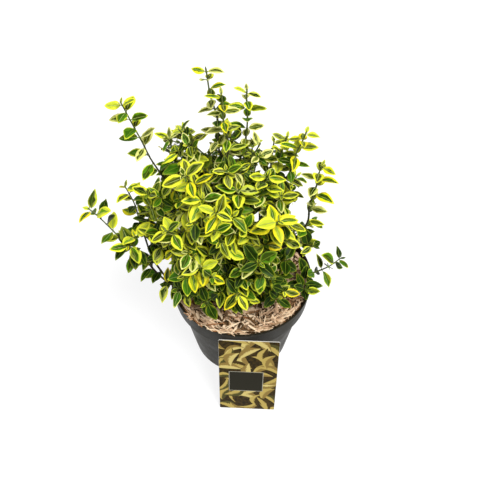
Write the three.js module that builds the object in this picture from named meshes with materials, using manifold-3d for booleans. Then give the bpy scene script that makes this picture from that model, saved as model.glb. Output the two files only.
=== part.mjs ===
import * as THREE from 'three';
import { mergeVertices } from 'three/addons/utils/BufferGeometryUtils.js';
import Module from 'manifold-3d';

// A variegated wintercreeper in a three-litre nursery pot, with its picture card leaning on the pot.
// Millimetres, +Z up. The origin is the middle of the pot's flat underside, and the card is in front, at -Y.
// Every stem starts on a short woody stool in the middle of the pot. Boughs are the bare old wood, and each
// foliage mass is one leafy shoot with its side twigs and leaves fused on.

// Pot
const POT_HEIGHT = 150;
const RIM_RADIUS = 95;
const BEAD_HEIGHT = 3.5;
const BEAD_DEPTH = 0.7;
const COLLAR_HEIGHT = 33;
const COLLAR_TAPER = 1.2;
const STEP_DEPTH = 5.8;
const STEP_HEIGHT = 2;
const BASE_RADIUS = 73;
const BASE_ROUND = 1.5;
const RIM_ROUND = 0.8;
const POT_WALL = 1.5;
const POT_FLOOR = 2;
const POT_SIDES = 48;
const DRAIN_HOLES = 6;
const DRAIN_RADIUS = 5;
const DRAIN_RING = 52;
const DRAIN_SIDES = 10;

// Bark mulch that fills the pot
const GAP = 0.3;
const MULCH_EDGE = 142.5;
const MULCH_CENTRE = 149;
const MULCH_FLAT = 24;
const MULCH_TILT = 2.4;
const MULCH_ROUGHNESS = 1.1;
const MULCH_RINGS = 3;

// Picture card
const CARD_WIDTH = 77;
const CARD_HEIGHT = 142;
const CARD_THICKNESS = 1;
const CARD_CORNER = 2;
const CARD_LEAN = THREE.MathUtils.degToRad(13.14);
const CARD_TURN = THREE.MathUtils.degToRad(-2.5);
const CARD_FOOT = new THREE.Vector3(8, -127, 0);

// Woody stool: root flare, waist and a round head that carries the boughs
const STOOL_HEAD = 16;
const STOOL_HEAD_HEIGHT = 171;
const STOOL_FLARE = 19;
const STOOL_LEAN = 2;
const STOOL_SIDES = 14;
const STOOL_LOBES = 5;
const HEAD_RINGS = 6;
const HEAD_FROM = -0.21 * Math.PI;
const HEAD_TO = 0.45 * Math.PI;
const FOOT_SPREAD = THREE.MathUtils.degToRad(23);
const FOOT_LOWEST = Math.sin(THREE.MathUtils.degToRad(6));
const SPREAD_ROUNDS = 60;

// Limbs and twigs
const BOUGH_FOOT = 2.6;
const BOUGH_TIP = 2;
const BOUGH_SIDES = 6;
const BOUGH_STEPS = 6;
const BOUGH_SHARE = 0.38;
const FORK_OFFSET = 1.35;
const FOOT_PULL = 0.35;
const SWEEP_PULL = 0.36;
const STEM_RADIUS = 1.1;
const STEM_TIP = 0.6;
const TWIG_RADIUS = 0.85;
const TWIG_COLLAR = 4;
const TWIG_STEPS = 4;
const TEST_STEPS = 14;
const TEST_SIDES = 6;
const LONGEST_STEP = 34;
const TWIG_SPREAD = THREE.MathUtils.degToRad(46);
const TWIG_LONGEST = 66;
const TWIG_SHORTEST = 26;
const TWIG_SHARE = 0.5;
const TWIG_VARIES = 0.4;
const TWIG_RISE = 0.6;
const TWIG_LEAF = 0.9;
const FIRST_TWIG = 2;
const TALL_SHOOT = 150;

// Leaves in opposite pairs, each pair turned a quarter from the last
const FIRST_NODE = 1.5;
const NODE_GAP_TIP = 10;
const NODE_GAP_FULL = 21;
const NODES_TO_FULL = 4;
const BARE_SHARE = 0.12;
const LEAF_LIFE = 1.25;
const LEAF_WIDTH = 0.6;
const LEAF_THICKNESS = 1.3;
const LEAF_WIDEST = 0.46;
const LEAF_FOLD = 0.13;
const LEAF_DROOP = 0.06;
const LEAF_CLEAR = 0.35;
const LEAF_START = 0.02;
const LEAF_FREE = 0.3;
const SPREAD_TIP = THREE.MathUtils.degToRad(46);
const SPREAD_FULL = THREE.MathUtils.degToRad(72);
const SPREAD_VARIES = 0.3;
const SPREAD_NODES = 3;
const TURN_VARIES = 0.4;
const TO_LIGHT = 0.85;
const LEAF_LIFT = 0.12;
const FACE_VARIES = 0.5;
const YOUNG_LEAF = 0.5;
const SIZE_VARIES = 0.24;
const TIP_LEAF = 0.45;
const MASS_REACH = 70;
const FLOOR_ROOM = 4;

// A place at an azimuth from +X, at a reach from the pot's axis and at a height above the rim
function fromRim(azimuth, reach, height) {
  const angle = THREE.MathUtils.degToRad(azimuth);
  return new THREE.Vector3(reach * Math.cos(angle), reach * Math.sin(angle), POT_HEIGHT + height);
}

// The crown. A shoot's tip stands at an azimuth from +X, at a reach from the pot's axis and at a height above
// the rim. rise is how steeply it ends, and leaf the length of its grown leaves. Shoots in one row spring from
// the tip of the row's bough, or from the stool where the row has none. lean is the foot's angle above level.
const shoot = (name, azimuth, reach, height, rise, leaf) => (
  { name, azimuth, height, rise, leaf, tip: fromRim(azimuth, reach, height) });
const CROWN = [
  { bough: 'bough_crown_back', lean: 80, shoots: [
    shoot('spire_back', 163, 34, 292, 82, 16), shoot('spire_front', 208, 21, 279, 84, 17)] },
  { bough: 'bough_crown_right', lean: 70, shoots: [
    shoot('spire_right', 77, 21, 265, 85, 17), shoot('crown_heart', 30, 22, 196, 76, 20)] },
  { bough: 'bough_left', lean: 46, shoots: [
    shoot('left_spire', 177, 114, 261, 73, 17), shoot('left_low', 174, 112, 104, 55, 21)] },
  { bough: 'bough_far_left', lean: 12, tip: fromRim(198, 96, 20), shoots: [
    shoot('far_left', 187, 169, 148, 62, 21), shoot('left_wing', 178, 130, 158, 74, 19)] },
  { bough: 'bough_back_left', lean: 56, shoots: [
    shoot('left_inner', 150, 71, 214, 76, 19), shoot('back_left_high', 131, 99, 118, 58, 22)] },
  { bough: 'bough_front_left', lean: 52, shoots: [
    shoot('left_knot', 184, 65, 214, 74, 21), shoot('rosette_left', 219, 72, 216, 60, 23)] },
  { bough: 'bough_right', lean: 56, shoots: [
    shoot('right_spire', 4, 64, 229, 77, 19), shoot('right_inner', 27, 54, 209, 74, 20)] },
  { bough: 'bough_back_right', lean: 44, shoots: [
    shoot('back_right_high', 56, 67, 180, 72, 20), shoot('back_right', 44, 99, 118, 58, 22)] },
  { bough: 'bough_far_right', lean: 36, tip: fromRim(354, 65, 76), shoots: [
    shoot('far_right', 346, 82, 208, 80, 20), shoot('right_side', 341, 91, 95, 48, 22)] },
  { bough: 'bough_low_right', lean: 8, tip: fromRim(350, 80, 10), shoots: [
    shoot('low_right', 356, 134, 50, 50, 24), shoot('rim_right', 330, 96, 30, 24, 22)] },
  { bough: 'bough_front', lean: 62, shoots: [
    shoot('front_high', 265, 40, 193, 66, 23), shoot('front_rosette', 249, 75, 190, 50, 24)] },
  { bough: 'bough_front_right', lean: 50, shoots: [
    shoot('front_right_high', 317, 37, 199, 70, 22), shoot('front_right', 300, 75, 173, 54, 24)] },
  { bough: 'bough_front_low_left', lean: 30, shoots: [
    shoot('front_left', 217, 100, 154, 48, 24), shoot('front_left_low', 229, 99, 96, 38, 24)] },
  { bough: 'bough_back', lean: 34, shoots: [
    shoot('back_mid', 91, 80, 130, 60, 22), shoot('back_low', 102, 106, 60, 38, 22)] },
  { bough: 'bough_side_left', lean: 12, shoots: [
    shoot('back_left_side', 156, 122, 111, 52, 22), shoot('back_left_low', 138, 110, 46, 30, 22)] },
  { lean: 24, shoots: [shoot('back_right_side', 20, 100, 72, 42, 22)] },
  { lean: 10, shoots: [shoot('back_right_low', 60, 112, 48, 32, 22)] },
  { lean: 32, shoots: [shoot('left_middle', 196, 84, 86, 46, 23)] },
  { lean: 30, shoots: [shoot('right_middle', 322, 70, 84, 44, 23)] },
  { lean: 12, shoots: [shoot('side_left', 207, 108, 44, 30, 23)] },
  { lean: 8, shoots: [shoot('skirt_left', 222, 104, 60, 28, 23)] },
  { lean: 14, shoots: [shoot('skirt_front_left', 242, 92, 48, 24, 23)] },
  { lean: 10, shoots: [shoot('skirt_front', 267, 84, 68, 30, 23)] },
  { lean: 14, shoots: [shoot('skirt_front_right', 302, 94, 72, 32, 23)] },
  { lean: 40, shoots: [shoot('front_mid', 284, 80, 122, 44, 24)] },
];
const CROWN_SEED = 2026;

const PLASTIC = new THREE.MeshStandardMaterial({ color: 0x2b2a2c, roughness: 0.55, metalness: 0 });
const BARK_CHIPS = new THREE.MeshStandardMaterial({ color: 0x9a6f45, roughness: 0.95, metalness: 0 });
const CARD = new THREE.MeshStandardMaterial({ color: 0x4c4722, roughness: 0.3, metalness: 0 });
const OLD_WOOD = new THREE.MeshStandardMaterial({ color: 0x6b5a3a, roughness: 0.9, metalness: 0 });
const LEAF_TINTS = [0x9fae1f, 0x7f9a24, 0xc3c423, 0x5f8428].map(
  (color) => new THREE.MeshStandardMaterial({ color, roughness: 0.4, metalness: 0 }),
);

const wasm = await Module();
wasm.setup();

// Numbers from 0 to 1 that come out the same for the same seed
function seeded(seed) {
  let state = seed >>> 0;
  return () => {
    state = (state + 0x6d2b79f5) >>> 0;
    let mixed = Math.imul(state ^ (state >>> 15), state | 1);
    mixed ^= mixed + Math.imul(mixed ^ (mixed >>> 7), mixed | 61);
    return ((mixed ^ (mixed >>> 14)) >>> 0) / 4294967296;
  };
}

function signedVolume(positions, faces) {
  const [a, b, c] = [new THREE.Vector3(), new THREE.Vector3(), new THREE.Vector3()];
  let volume = 0;
  for (let i = 0; i < faces.length; i += 3) {
    a.fromArray(positions, faces[i] * 3);
    b.fromArray(positions, faces[i + 1] * 3);
    c.fromArray(positions, faces[i + 2] * 3);
    volume += a.dot(b.cross(c)) / 6;
  }
  return volume;
}

// A closed solid from a geometry: shared vertices merged, flat scraps dropped, faces turned outwards
function toSolid(geometry) {
  const bare = geometry.clone();
  bare.deleteAttribute('normal');
  bare.deleteAttribute('uv');
  const merged = mergeVertices(bare, 1e-4);
  const positions = merged.attributes.position.array;
  const faces = [];
  for (let i = 0; i < merged.index.count; i += 3) {
    const [a, b, c] = [merged.index.getX(i), merged.index.getX(i + 1), merged.index.getX(i + 2)];
    if (a !== b && b !== c && c !== a) {
      faces.push(a, b, c);
    }
  }
  if (signedVolume(positions, faces) < 0) {
    faces.reverse();
  }
  return new wasm.Manifold(new wasm.Mesh({
    numProp: 3,
    vertProperties: new Float32Array(positions),
    triVerts: new Uint32Array(faces),
  }));
}

function toGeometry(solid) {
  const mesh = solid.getMesh();
  const geometry = new THREE.BufferGeometry();
  geometry.setAttribute('position', new THREE.BufferAttribute(mesh.vertProperties, 3));
  geometry.setIndex(new THREE.BufferAttribute(mesh.triVerts, 1));
  geometry.computeVertexNormals();
  return geometry;
}

function indexed(points, faces) {
  const geometry = new THREE.BufferGeometry();
  geometry.setAttribute('position', new THREE.Float32BufferAttribute(points.flatMap((p) => p.toArray()), 3));
  geometry.setIndex(faces);
  return geometry;
}

// A closed skin over rings of points, with flat ends
function loft(rings) {
  const sides = rings[0].length;
  const faces = [];
  for (let ring = 0; ring < rings.length - 1; ring++) {
    for (let i = 0; i < sides; i++) {
      const a = ring * sides + i;
      const b = ring * sides + (i + 1) % sides;
      faces.push(a, b, b + sides, a, b + sides, a + sides);
    }
  }
  const last = (rings.length - 1) * sides;
  for (let i = 1; i < sides - 1; i++) {
    faces.push(0, i + 1, i, last, last + i, last + i + 1);
  }
  return indexed(rings.flat(), faces);
}

// A round limb along a curve, tapering from one radius to the other
function limb(curve, sides, steps, footRadius, tipRadius) {
  const frames = curve.computeFrenetFrames(steps, false);
  const rings = [];
  for (let step = 0; step <= steps; step++) {
    const along = step / steps;
    const radius = THREE.MathUtils.lerp(footRadius, tipRadius, along);
    const centre = curve.getPointAt(along);
    rings.push(Array.from({ length: sides }, (_, i) => {
      const angle = (2 * Math.PI * i) / sides;
      return centre.clone()
        .addScaledVector(frames.normals[step], radius * Math.cos(angle))
        .addScaledVector(frames.binormals[step], radius * Math.sin(angle));
    }));
  }
  return toSolid(loft(rings));
}

function lathe(profile, sides) {
  return new THREE.LatheGeometry(profile.map(([r, z]) => new THREE.Vector2(r, z)), sides).rotateX(Math.PI / 2);
}

// Outer line of the pot from its base edge to its rim, as radius and height
function potOutline() {
  const collarFoot = POT_HEIGHT - COLLAR_HEIGHT;
  const collarTop = RIM_RADIUS - BEAD_DEPTH;
  return [
    [BASE_RADIUS - BASE_ROUND, 0],
    [BASE_RADIUS, BASE_ROUND],
    [collarTop - COLLAR_TAPER - STEP_DEPTH, collarFoot],
    [collarTop - COLLAR_TAPER, collarFoot + STEP_HEIGHT],
    [collarTop, POT_HEIGHT - BEAD_HEIGHT],
    [RIM_RADIUS, POT_HEIGHT - BEAD_HEIGHT + RIM_ROUND],
    [RIM_RADIUS, POT_HEIGHT - RIM_ROUND],
    [RIM_RADIUS - RIM_ROUND, POT_HEIGHT],
  ];
}

// Inner line of the pot from its rim down to its floor
function potInside() {
  const collarFoot = POT_HEIGHT - COLLAR_HEIGHT;
  const collarTop = RIM_RADIUS - BEAD_DEPTH - POT_WALL;
  return [
    [collarTop, POT_HEIGHT],
    [collarTop - COLLAR_TAPER, collarFoot + STEP_HEIGHT + POT_WALL / 2],
    [collarTop - COLLAR_TAPER - STEP_DEPTH, collarFoot + POT_WALL / 2],
    [BASE_RADIUS - POT_WALL, POT_FLOOR],
  ];
}

function makePot() {
  const wall = toSolid(lathe([[0, 0], ...potOutline(), ...potInside(), [0, POT_FLOOR]], POT_SIDES));
  const holes = [];
  for (let i = 0; i < DRAIN_HOLES; i++) {
    const angle = (2 * Math.PI * (i + 0.5)) / DRAIN_HOLES;
    const drill = new THREE.CylinderGeometry(DRAIN_RADIUS, DRAIN_RADIUS, 4 * POT_FLOOR, DRAIN_SIDES);
    drill.rotateX(Math.PI / 2).translate(DRAIN_RING * Math.cos(angle), DRAIN_RING * Math.sin(angle), 0);
    holes.push(toSolid(drill));
  }
  return toGeometry(wall.subtract(wasm.Manifold.union(holes)));
}

// Height of the mulch: domed, lower to the right, rough, and level round the stool
function mulchHeight(x, y) {
  const radius = Math.hypot(x, y);
  const out = Math.max(0, (radius - MULCH_FLAT) / (RIM_RADIUS - MULCH_FLAT));
  const dome = THREE.MathUtils.lerp(MULCH_CENTRE, MULCH_EDGE, out * out);
  const rough = Math.sin(x * 0.21 + 1) * Math.cos(y * 0.17) + 0.6 * Math.sin((x + y) * 0.39);
  return dome - (MULCH_TILT * x * out) / RIM_RADIUS + MULCH_ROUGHNESS * rough * Math.min(1, 3 * out);
}

function makeMulch() {
  const [wallTop, collarWall, stepWall, wallFoot] = potInside();
  const filled = (MULCH_EDGE - collarWall[1]) / (wallTop[1] - collarWall[1]);
  const edge = THREE.MathUtils.lerp(collarWall[0], wallTop[0], filled) - 1.5 * GAP;
  const profile = [
    [0, POT_FLOOR + GAP],
    [wallFoot[0] - 2 * GAP, POT_FLOOR + GAP],
    [stepWall[0] - GAP, stepWall[1] + GAP],
    [collarWall[0] - GAP, collarWall[1] + GAP],
    [edge, MULCH_EDGE],
  ];
  for (let ring = 1; ring <= MULCH_RINGS; ring++) {
    profile.push([THREE.MathUtils.lerp(edge, MULCH_FLAT, ring / MULCH_RINGS), MULCH_CENTRE]);
  }
  profile.push([0, MULCH_CENTRE]);
  const geometry = lathe(profile, POT_SIDES);
  const position = geometry.attributes.position;
  for (let i = 0; i < position.count; i++) {
    if (position.getZ(i) >= MULCH_EDGE) {
      position.setZ(i, mulchHeight(position.getX(i), position.getY(i)));
    }
  }
  return toGeometry(toSolid(geometry));
}

function makeCard() {
  const [w, h, r] = [CARD_WIDTH / 2, CARD_HEIGHT, CARD_CORNER];
  const outline = new THREE.Shape();
  outline.moveTo(-w + r, 0);
  outline.lineTo(w - r, 0);
  outline.absarc(w - r, r, r, -Math.PI / 2, 0);
  outline.lineTo(w, h - r);
  outline.absarc(w - r, h - r, r, 0, Math.PI / 2);
  outline.lineTo(-w + r, h);
  outline.absarc(-w + r, h - r, r, Math.PI / 2, Math.PI);
  outline.lineTo(-w, r);
  outline.absarc(-w + r, r, r, Math.PI, 1.5 * Math.PI);
  const flat = { depth: CARD_THICKNESS, bevelEnabled: false, curveSegments: 2 };
  return toGeometry(toSolid(new THREE.ExtrudeGeometry(outline, flat)));
}

// The stool: a lobed root flare cut flat on the mulch, a waist, and a round head
function makeStool() {
  const foot = MULCH_CENTRE + GAP;
  const levels = [
    { z: foot, radius: STOOL_FLARE, lobes: 0.14 },
    { z: foot + 2.5, radius: STOOL_FLARE * 0.84, lobes: 0.1 },
    { z: foot + 6, radius: STOOL_FLARE * 0.7, lobes: 0.05 },
  ];
  for (let step = 0; step < HEAD_RINGS; step++) {
    const angle = THREE.MathUtils.lerp(HEAD_FROM, HEAD_TO, step / (HEAD_RINGS - 1));
    levels.push({
      z: STOOL_HEAD_HEIGHT + STOOL_HEAD * Math.sin(angle), radius: STOOL_HEAD * Math.cos(angle), lobes: 0,
    });
  }
  return toGeometry(toSolid(loft(levels.map(({ z, radius, lobes }) => (
    Array.from({ length: STOOL_SIDES }, (_, i) => {
      const angle = (2 * Math.PI * i) / STOOL_SIDES;
      const swell = radius * (1 + lobes * Math.cos(STOOL_LOBES * angle));
      const lean = (STOOL_LEAN * (STOOL_HEAD_HEIGHT - z)) / STOOL_HEAD_HEIGHT;
      return new THREE.Vector3(swell * Math.cos(angle) + lean, swell * Math.sin(angle), z);
    })
  )))));
}

// Unit direction at an azimuth and an angle above level
function direction(azimuth, above) {
  const [turn, rise] = [THREE.MathUtils.degToRad(azimuth), THREE.MathUtils.degToRad(above)];
  return new THREE.Vector3(Math.cos(rise) * Math.cos(turn), Math.cos(rise) * Math.sin(turn), Math.sin(rise));
}

function rowCentre(row) {
  const sum = row.shoots.reduce((total, each) => total.add(each.tip), new THREE.Vector3());
  return sum.divideScalar(row.shoots.length);
}

// Directions of the feet on the stool's head, pushed apart until no two limbs would touch
function spreadFeet(rows) {
  const feet = rows.map((row) => {
    const centre = rowCentre(row);
    return direction(THREE.MathUtils.radToDeg(Math.atan2(centre.y, centre.x)), row.lean);
  });
  for (let round = 0; round < SPREAD_ROUNDS; round++) {
    for (let i = 0; i < feet.length; i++) {
      for (let j = 0; j < i; j++) {
        const short = FOOT_SPREAD - feet[i].angleTo(feet[j]);
        if (short > 0) {
          const push = feet[i].clone().sub(feet[j]).setLength(short / 2);
          feet[i].add(push).normalize();
          feet[j].sub(push).normalize();
        }
      }
      feet[i].z = Math.max(feet[i].z, FOOT_LOWEST);
      feet[i].normalize();
    }
  }
  return feet;
}

// A curve that leaves its start along one direction and comes to its end along the other
function sweep(start, startWay, end, endWay) {
  const pull = start.distanceTo(end) * SWEEP_PULL;
  return new THREE.CubicBezierCurve3(
    start,
    start.clone().addScaledVector(startWay, pull),
    end.clone().addScaledVector(endWay, -pull),
    end,
  );
}

// Two directions square to a stem, the first one level with the ground
function squareTo(way, level) {
  const a = level.clone().addScaledVector(way, -level.dot(way)).normalize();
  const b = new THREE.Vector3().crossVectors(way, a).normalize();
  return [a, b];
}

// Distances of the leaf pairs back from a stem's tip, close together at the tip
function nodeDistances(length) {
  const distances = [];
  let back = FIRST_NODE;
  for (let node = 0; back < length * (1 - BARE_SHARE); node++) {
    distances.push(back);
    back += THREE.MathUtils.lerp(NODE_GAP_TIP, NODE_GAP_FULL, Math.min(1, node / NODES_TO_FULL));
  }
  return distances;
}

// One leaf of a pair: it stands off the stem at a spread that grows down the stem, its face to stem and sky
function leafAt(root, stemWay, outWay, node, grown, random) {
  const vary = (range) => (random() - 0.5) * range;
  const age = Math.min(1, node / SPREAD_NODES);
  const spread = THREE.MathUtils.lerp(SPREAD_TIP, SPREAD_FULL, age) + vary(SPREAD_VARIES);
  const along = stemWay.clone().multiplyScalar(Math.cos(spread)).addScaledVector(outWay, Math.sin(spread));
  along.z += LEAF_LIFT;
  along.normalize();
  const face = stemWay.clone().multiplyScalar(Math.sin(spread)).addScaledVector(outWay, -Math.cos(spread));
  face.z += TO_LIGHT;
  face.x += vary(FACE_VARIES);
  face.y += vary(FACE_VARIES);
  face.addScaledVector(along, -face.dot(along)).normalize();
  const length = grown * THREE.MathUtils.lerp(YOUNG_LEAF, 1, age) * (1 + vary(SIZE_VARIES));
  return { root, along, face, length };
}

// Leaf pairs along a stem, every pair a quarter turn from the last
function leavesAlong(curve, across, grown, turn, random) {
  const length = curve.getLength();
  return nodeDistances(length).map((back, node) => {
    const at = 1 - back / length;
    const point = curve.getPointAt(at);
    const way = curve.getTangentAt(at);
    const [a, b] = squareTo(way, across);
    const angle = turn + (node * Math.PI) / 2 + (random() - 0.5) * TURN_VARIES;
    const out = a.clone().multiplyScalar(Math.cos(angle)).addScaledVector(b, Math.sin(angle));
    const leaves = [1, -1].map((side) => (
      leafAt(point, way, out.clone().multiplyScalar(side), node, grown, random)));
    return { at, node, angle, point, way, out, leaves };
  });
}

// The growth rule of one foliage mass: a leafy stem, then side twigs below its tip. Low shoots branch at every
// leaf pair and tall ones at every second.
function grow(stem, level, plan, seed) {
  const random = seeded(seed);
  const pairs = leavesAlong(stem, level, plan.leaf, random() * Math.PI, random);
  const length = stem.getLength();
  const twigs = [];
  const every = plan.height > TALL_SHOOT ? 2 : 1;
  for (const pair of pairs) {
    if (pair.node < FIRST_TWIG * every || pair.node % every !== 0) {
      continue;
    }
    const side = random() < 0.5 ? 0 : 1;
    const sign = side === 0 ? 1 : -1;
    const twigWay = pair.way.clone().multiplyScalar(Math.cos(TWIG_SPREAD))
      .addScaledVector(pair.out, sign * Math.sin(TWIG_SPREAD));
    const reach = THREE.MathUtils.clamp((1 - pair.at) * length * TWIG_SHARE, TWIG_SHORTEST, TWIG_LONGEST)
      * (1 + (random() - 0.5) * TWIG_VARIES);
    const endWay = twigWay.clone();
    endWay.z += TWIG_RISE;
    endWay.normalize();
    const end = pair.point.clone().addScaledVector(twigWay, reach / 2).addScaledVector(endWay, reach / 2);
    const curve = sweep(pair.point, twigWay, end, endWay);
    const across = new THREE.Vector3(-endWay.y, endWay.x, 0).normalize();
    const twigPairs = leavesAlong(curve, across, plan.leaf * TWIG_LEAF, random() * Math.PI, random);
    twigs.push({ pair, side, curve, across, pairs: twigPairs });
  }
  return { pairs, twigs };
}

// Points of a leaf: its widest section, in order round it, and its tip. It is folded up a little on both
// sides of its rib, and its tip droops. more widens it on all sides.
function leafPoints({ root, along, face, length }, more = 0) {
  const long = length * LEAF_LIFE;
  const half = (long * LEAF_WIDTH) / 2 + more;
  const thick = LEAF_THICKNESS / 2 + more;
  const fold = half * LEAF_FOLD;
  const side = new THREE.Vector3().crossVectors(face, along).normalize();
  const at = (forward, across, up) => root.clone()
    .addScaledVector(along, forward).addScaledVector(side, across).addScaledVector(face, up);
  const middle = long * LEAF_WIDEST;
  return {
    at,
    section: [at(middle, half, fold), at(middle, 0, thick), at(middle, -half, fold), at(middle, 0, -thick)],
    tip: at(long + more, 0, -long * LEAF_DROOP),
  };
}

// A loose copy of a leaf that starts part way along it, to test the room it would take
function leafRoom(leaf, more, from) {
  const { at, section, tip } = leafPoints(leaf, more);
  const start = at(leaf.length * LEAF_LIFE * from, 0, 0);
  return toSolid(indexed([start, tip, ...section], [
    0, 3, 2, 0, 4, 3, 0, 5, 4, 0, 2, 5, 1, 2, 3, 1, 3, 4, 1, 4, 5, 1, 5, 2,
  ]));
}

// Turns a ring's order so that its points lie nearest to the ring before it
function nearestOrder(points, before, ring) {
  const turned = ring.map((_, shift) => ring.map((_, i) => ring[(i + shift) % ring.length]));
  const far = (order) => order.reduce((sum, point, i) => (
    sum + points[point].distanceToSquared(points[before[i]])), 0);
  return turned.reduce((best, order) => (far(order) < far(best) ? order : best));
}

// One closed skin over a whole mass: three-sided stems, each leaf and twig drawn out of a face of its stem
function massSkin({ stem, grown, level }) {
  const points = [];
  const faces = [];
  const add = (point) => points.push(point) - 1;
  const bridge = (before, after, open = []) => {
    const sides = before.length;
    for (let i = 0; i < sides; i++) {
      if (!open.includes(i)) {
        const [a, b, c, d] = [before[i], before[(i + 1) % sides], after[(i + 1) % sides], after[i]];
        faces.push(a, b, c, a, c, d);
      }
    }
  };
  const ringAt = (curve, at, across, radius, phase) => {
    const centre = curve.getPointAt(at);
    const [a, b] = squareTo(curve.getTangentAt(at), across);
    return [0, 1, 2].map((i) => {
      const angle = phase + (i * 2 * Math.PI) / 3;
      return add(centre.clone().addScaledVector(a, radius * Math.cos(angle))
        .addScaledVector(b, radius * Math.sin(angle)));
    });
  };
  const closeWith = (ring, tip) => {
    ring.forEach((point, i) => faces.push(point, ring[(i + 1) % ring.length], tip));
  };
  const drawLeaf = (base, leaf) => {
    const { section, tip } = leafPoints(leaf);
    const ring = nearestOrder(points, base, section.map(add));
    bridge(base, ring);
    closeWith(ring, add(tip));
  };

  const drawStem = (curve, across, pairs, radiusAt, firstRing, firstAt) => {
    const length = curve.getLength();
    let before = firstRing;
    let last = firstAt;
    for (const pair of [...pairs].reverse()) {
      const radius = radiusAt(pair.at);
      const half = radius / length;
      const phase = pair.angle - Math.PI / 6;
      const gap = pair.at - last;
      const extra = Math.floor((gap * length) / LONGEST_STEP);
      for (let i = 1; i <= extra; i++) {
        const at = last + (gap * i) / (extra + 1);
        const ring = nearestOrder(points, before, ringAt(curve, at, across, radiusAt(at), phase));
        bridge(before, ring);
        before = ring;
      }
      const low = ringAt(curve, pair.at - half, across, radius, phase);
      const high = ringAt(curve, Math.min(pair.at + half, 1), across, radius, phase);
      bridge(before, nearestOrder(points, before, low));
      bridge(low, high, [0, 1]);
      [0, 1].forEach((side) => {
        const base = [low[side], low[(side + 1) % 3], high[(side + 1) % 3], high[side]];
        const leaf = pair.leaves[side];
        const twig = grown.twigs.find((each) => each.pair === pair && each.side === side);
        if (twig) {
          faces.push(base[0], base[2], base[3]);
          drawTwig(twig, [base[0], base[1], base[2]]);
        } else if (leaf.free) {
          drawLeaf(base, leaf);
        } else {
          faces.push(base[0], base[1], base[2], base[0], base[2], base[3]);
        }
      });
      before = high;
      last = pair.at + half;
    }
    const bud = curve.getPointAt(1).addScaledVector(curve.getTangentAt(1), radiusAt(1));
    closeWith(before, add(bud));
  };

  const drawTwig = ({ curve, across, pairs }, base) => {
    const at = TWIG_COLLAR / curve.getLength();
    const collar = nearestOrder(points, base, ringAt(curve, at, across, TWIG_RADIUS, 0));
    bridge(base, collar);
    drawStem(curve, across, pairs, (t) => THREE.MathUtils.lerp(TWIG_RADIUS, STEM_TIP, t), collar, at);
  };

  const foot = ringAt(stem, 0, level, STEM_RADIUS, 0);
  faces.push(foot[0], foot[2], foot[1]);
  drawStem(stem, level, grown.pairs, (t) => THREE.MathUtils.lerp(STEM_RADIUS, STEM_TIP, t), foot, 0);
  return toSolid(indexed(points, faces));
}

function boxOf(solid) {
  const { min, max } = solid.boundingBox();
  return new THREE.Box3(new THREE.Vector3(...min), new THREE.Vector3(...max));
}

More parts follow.
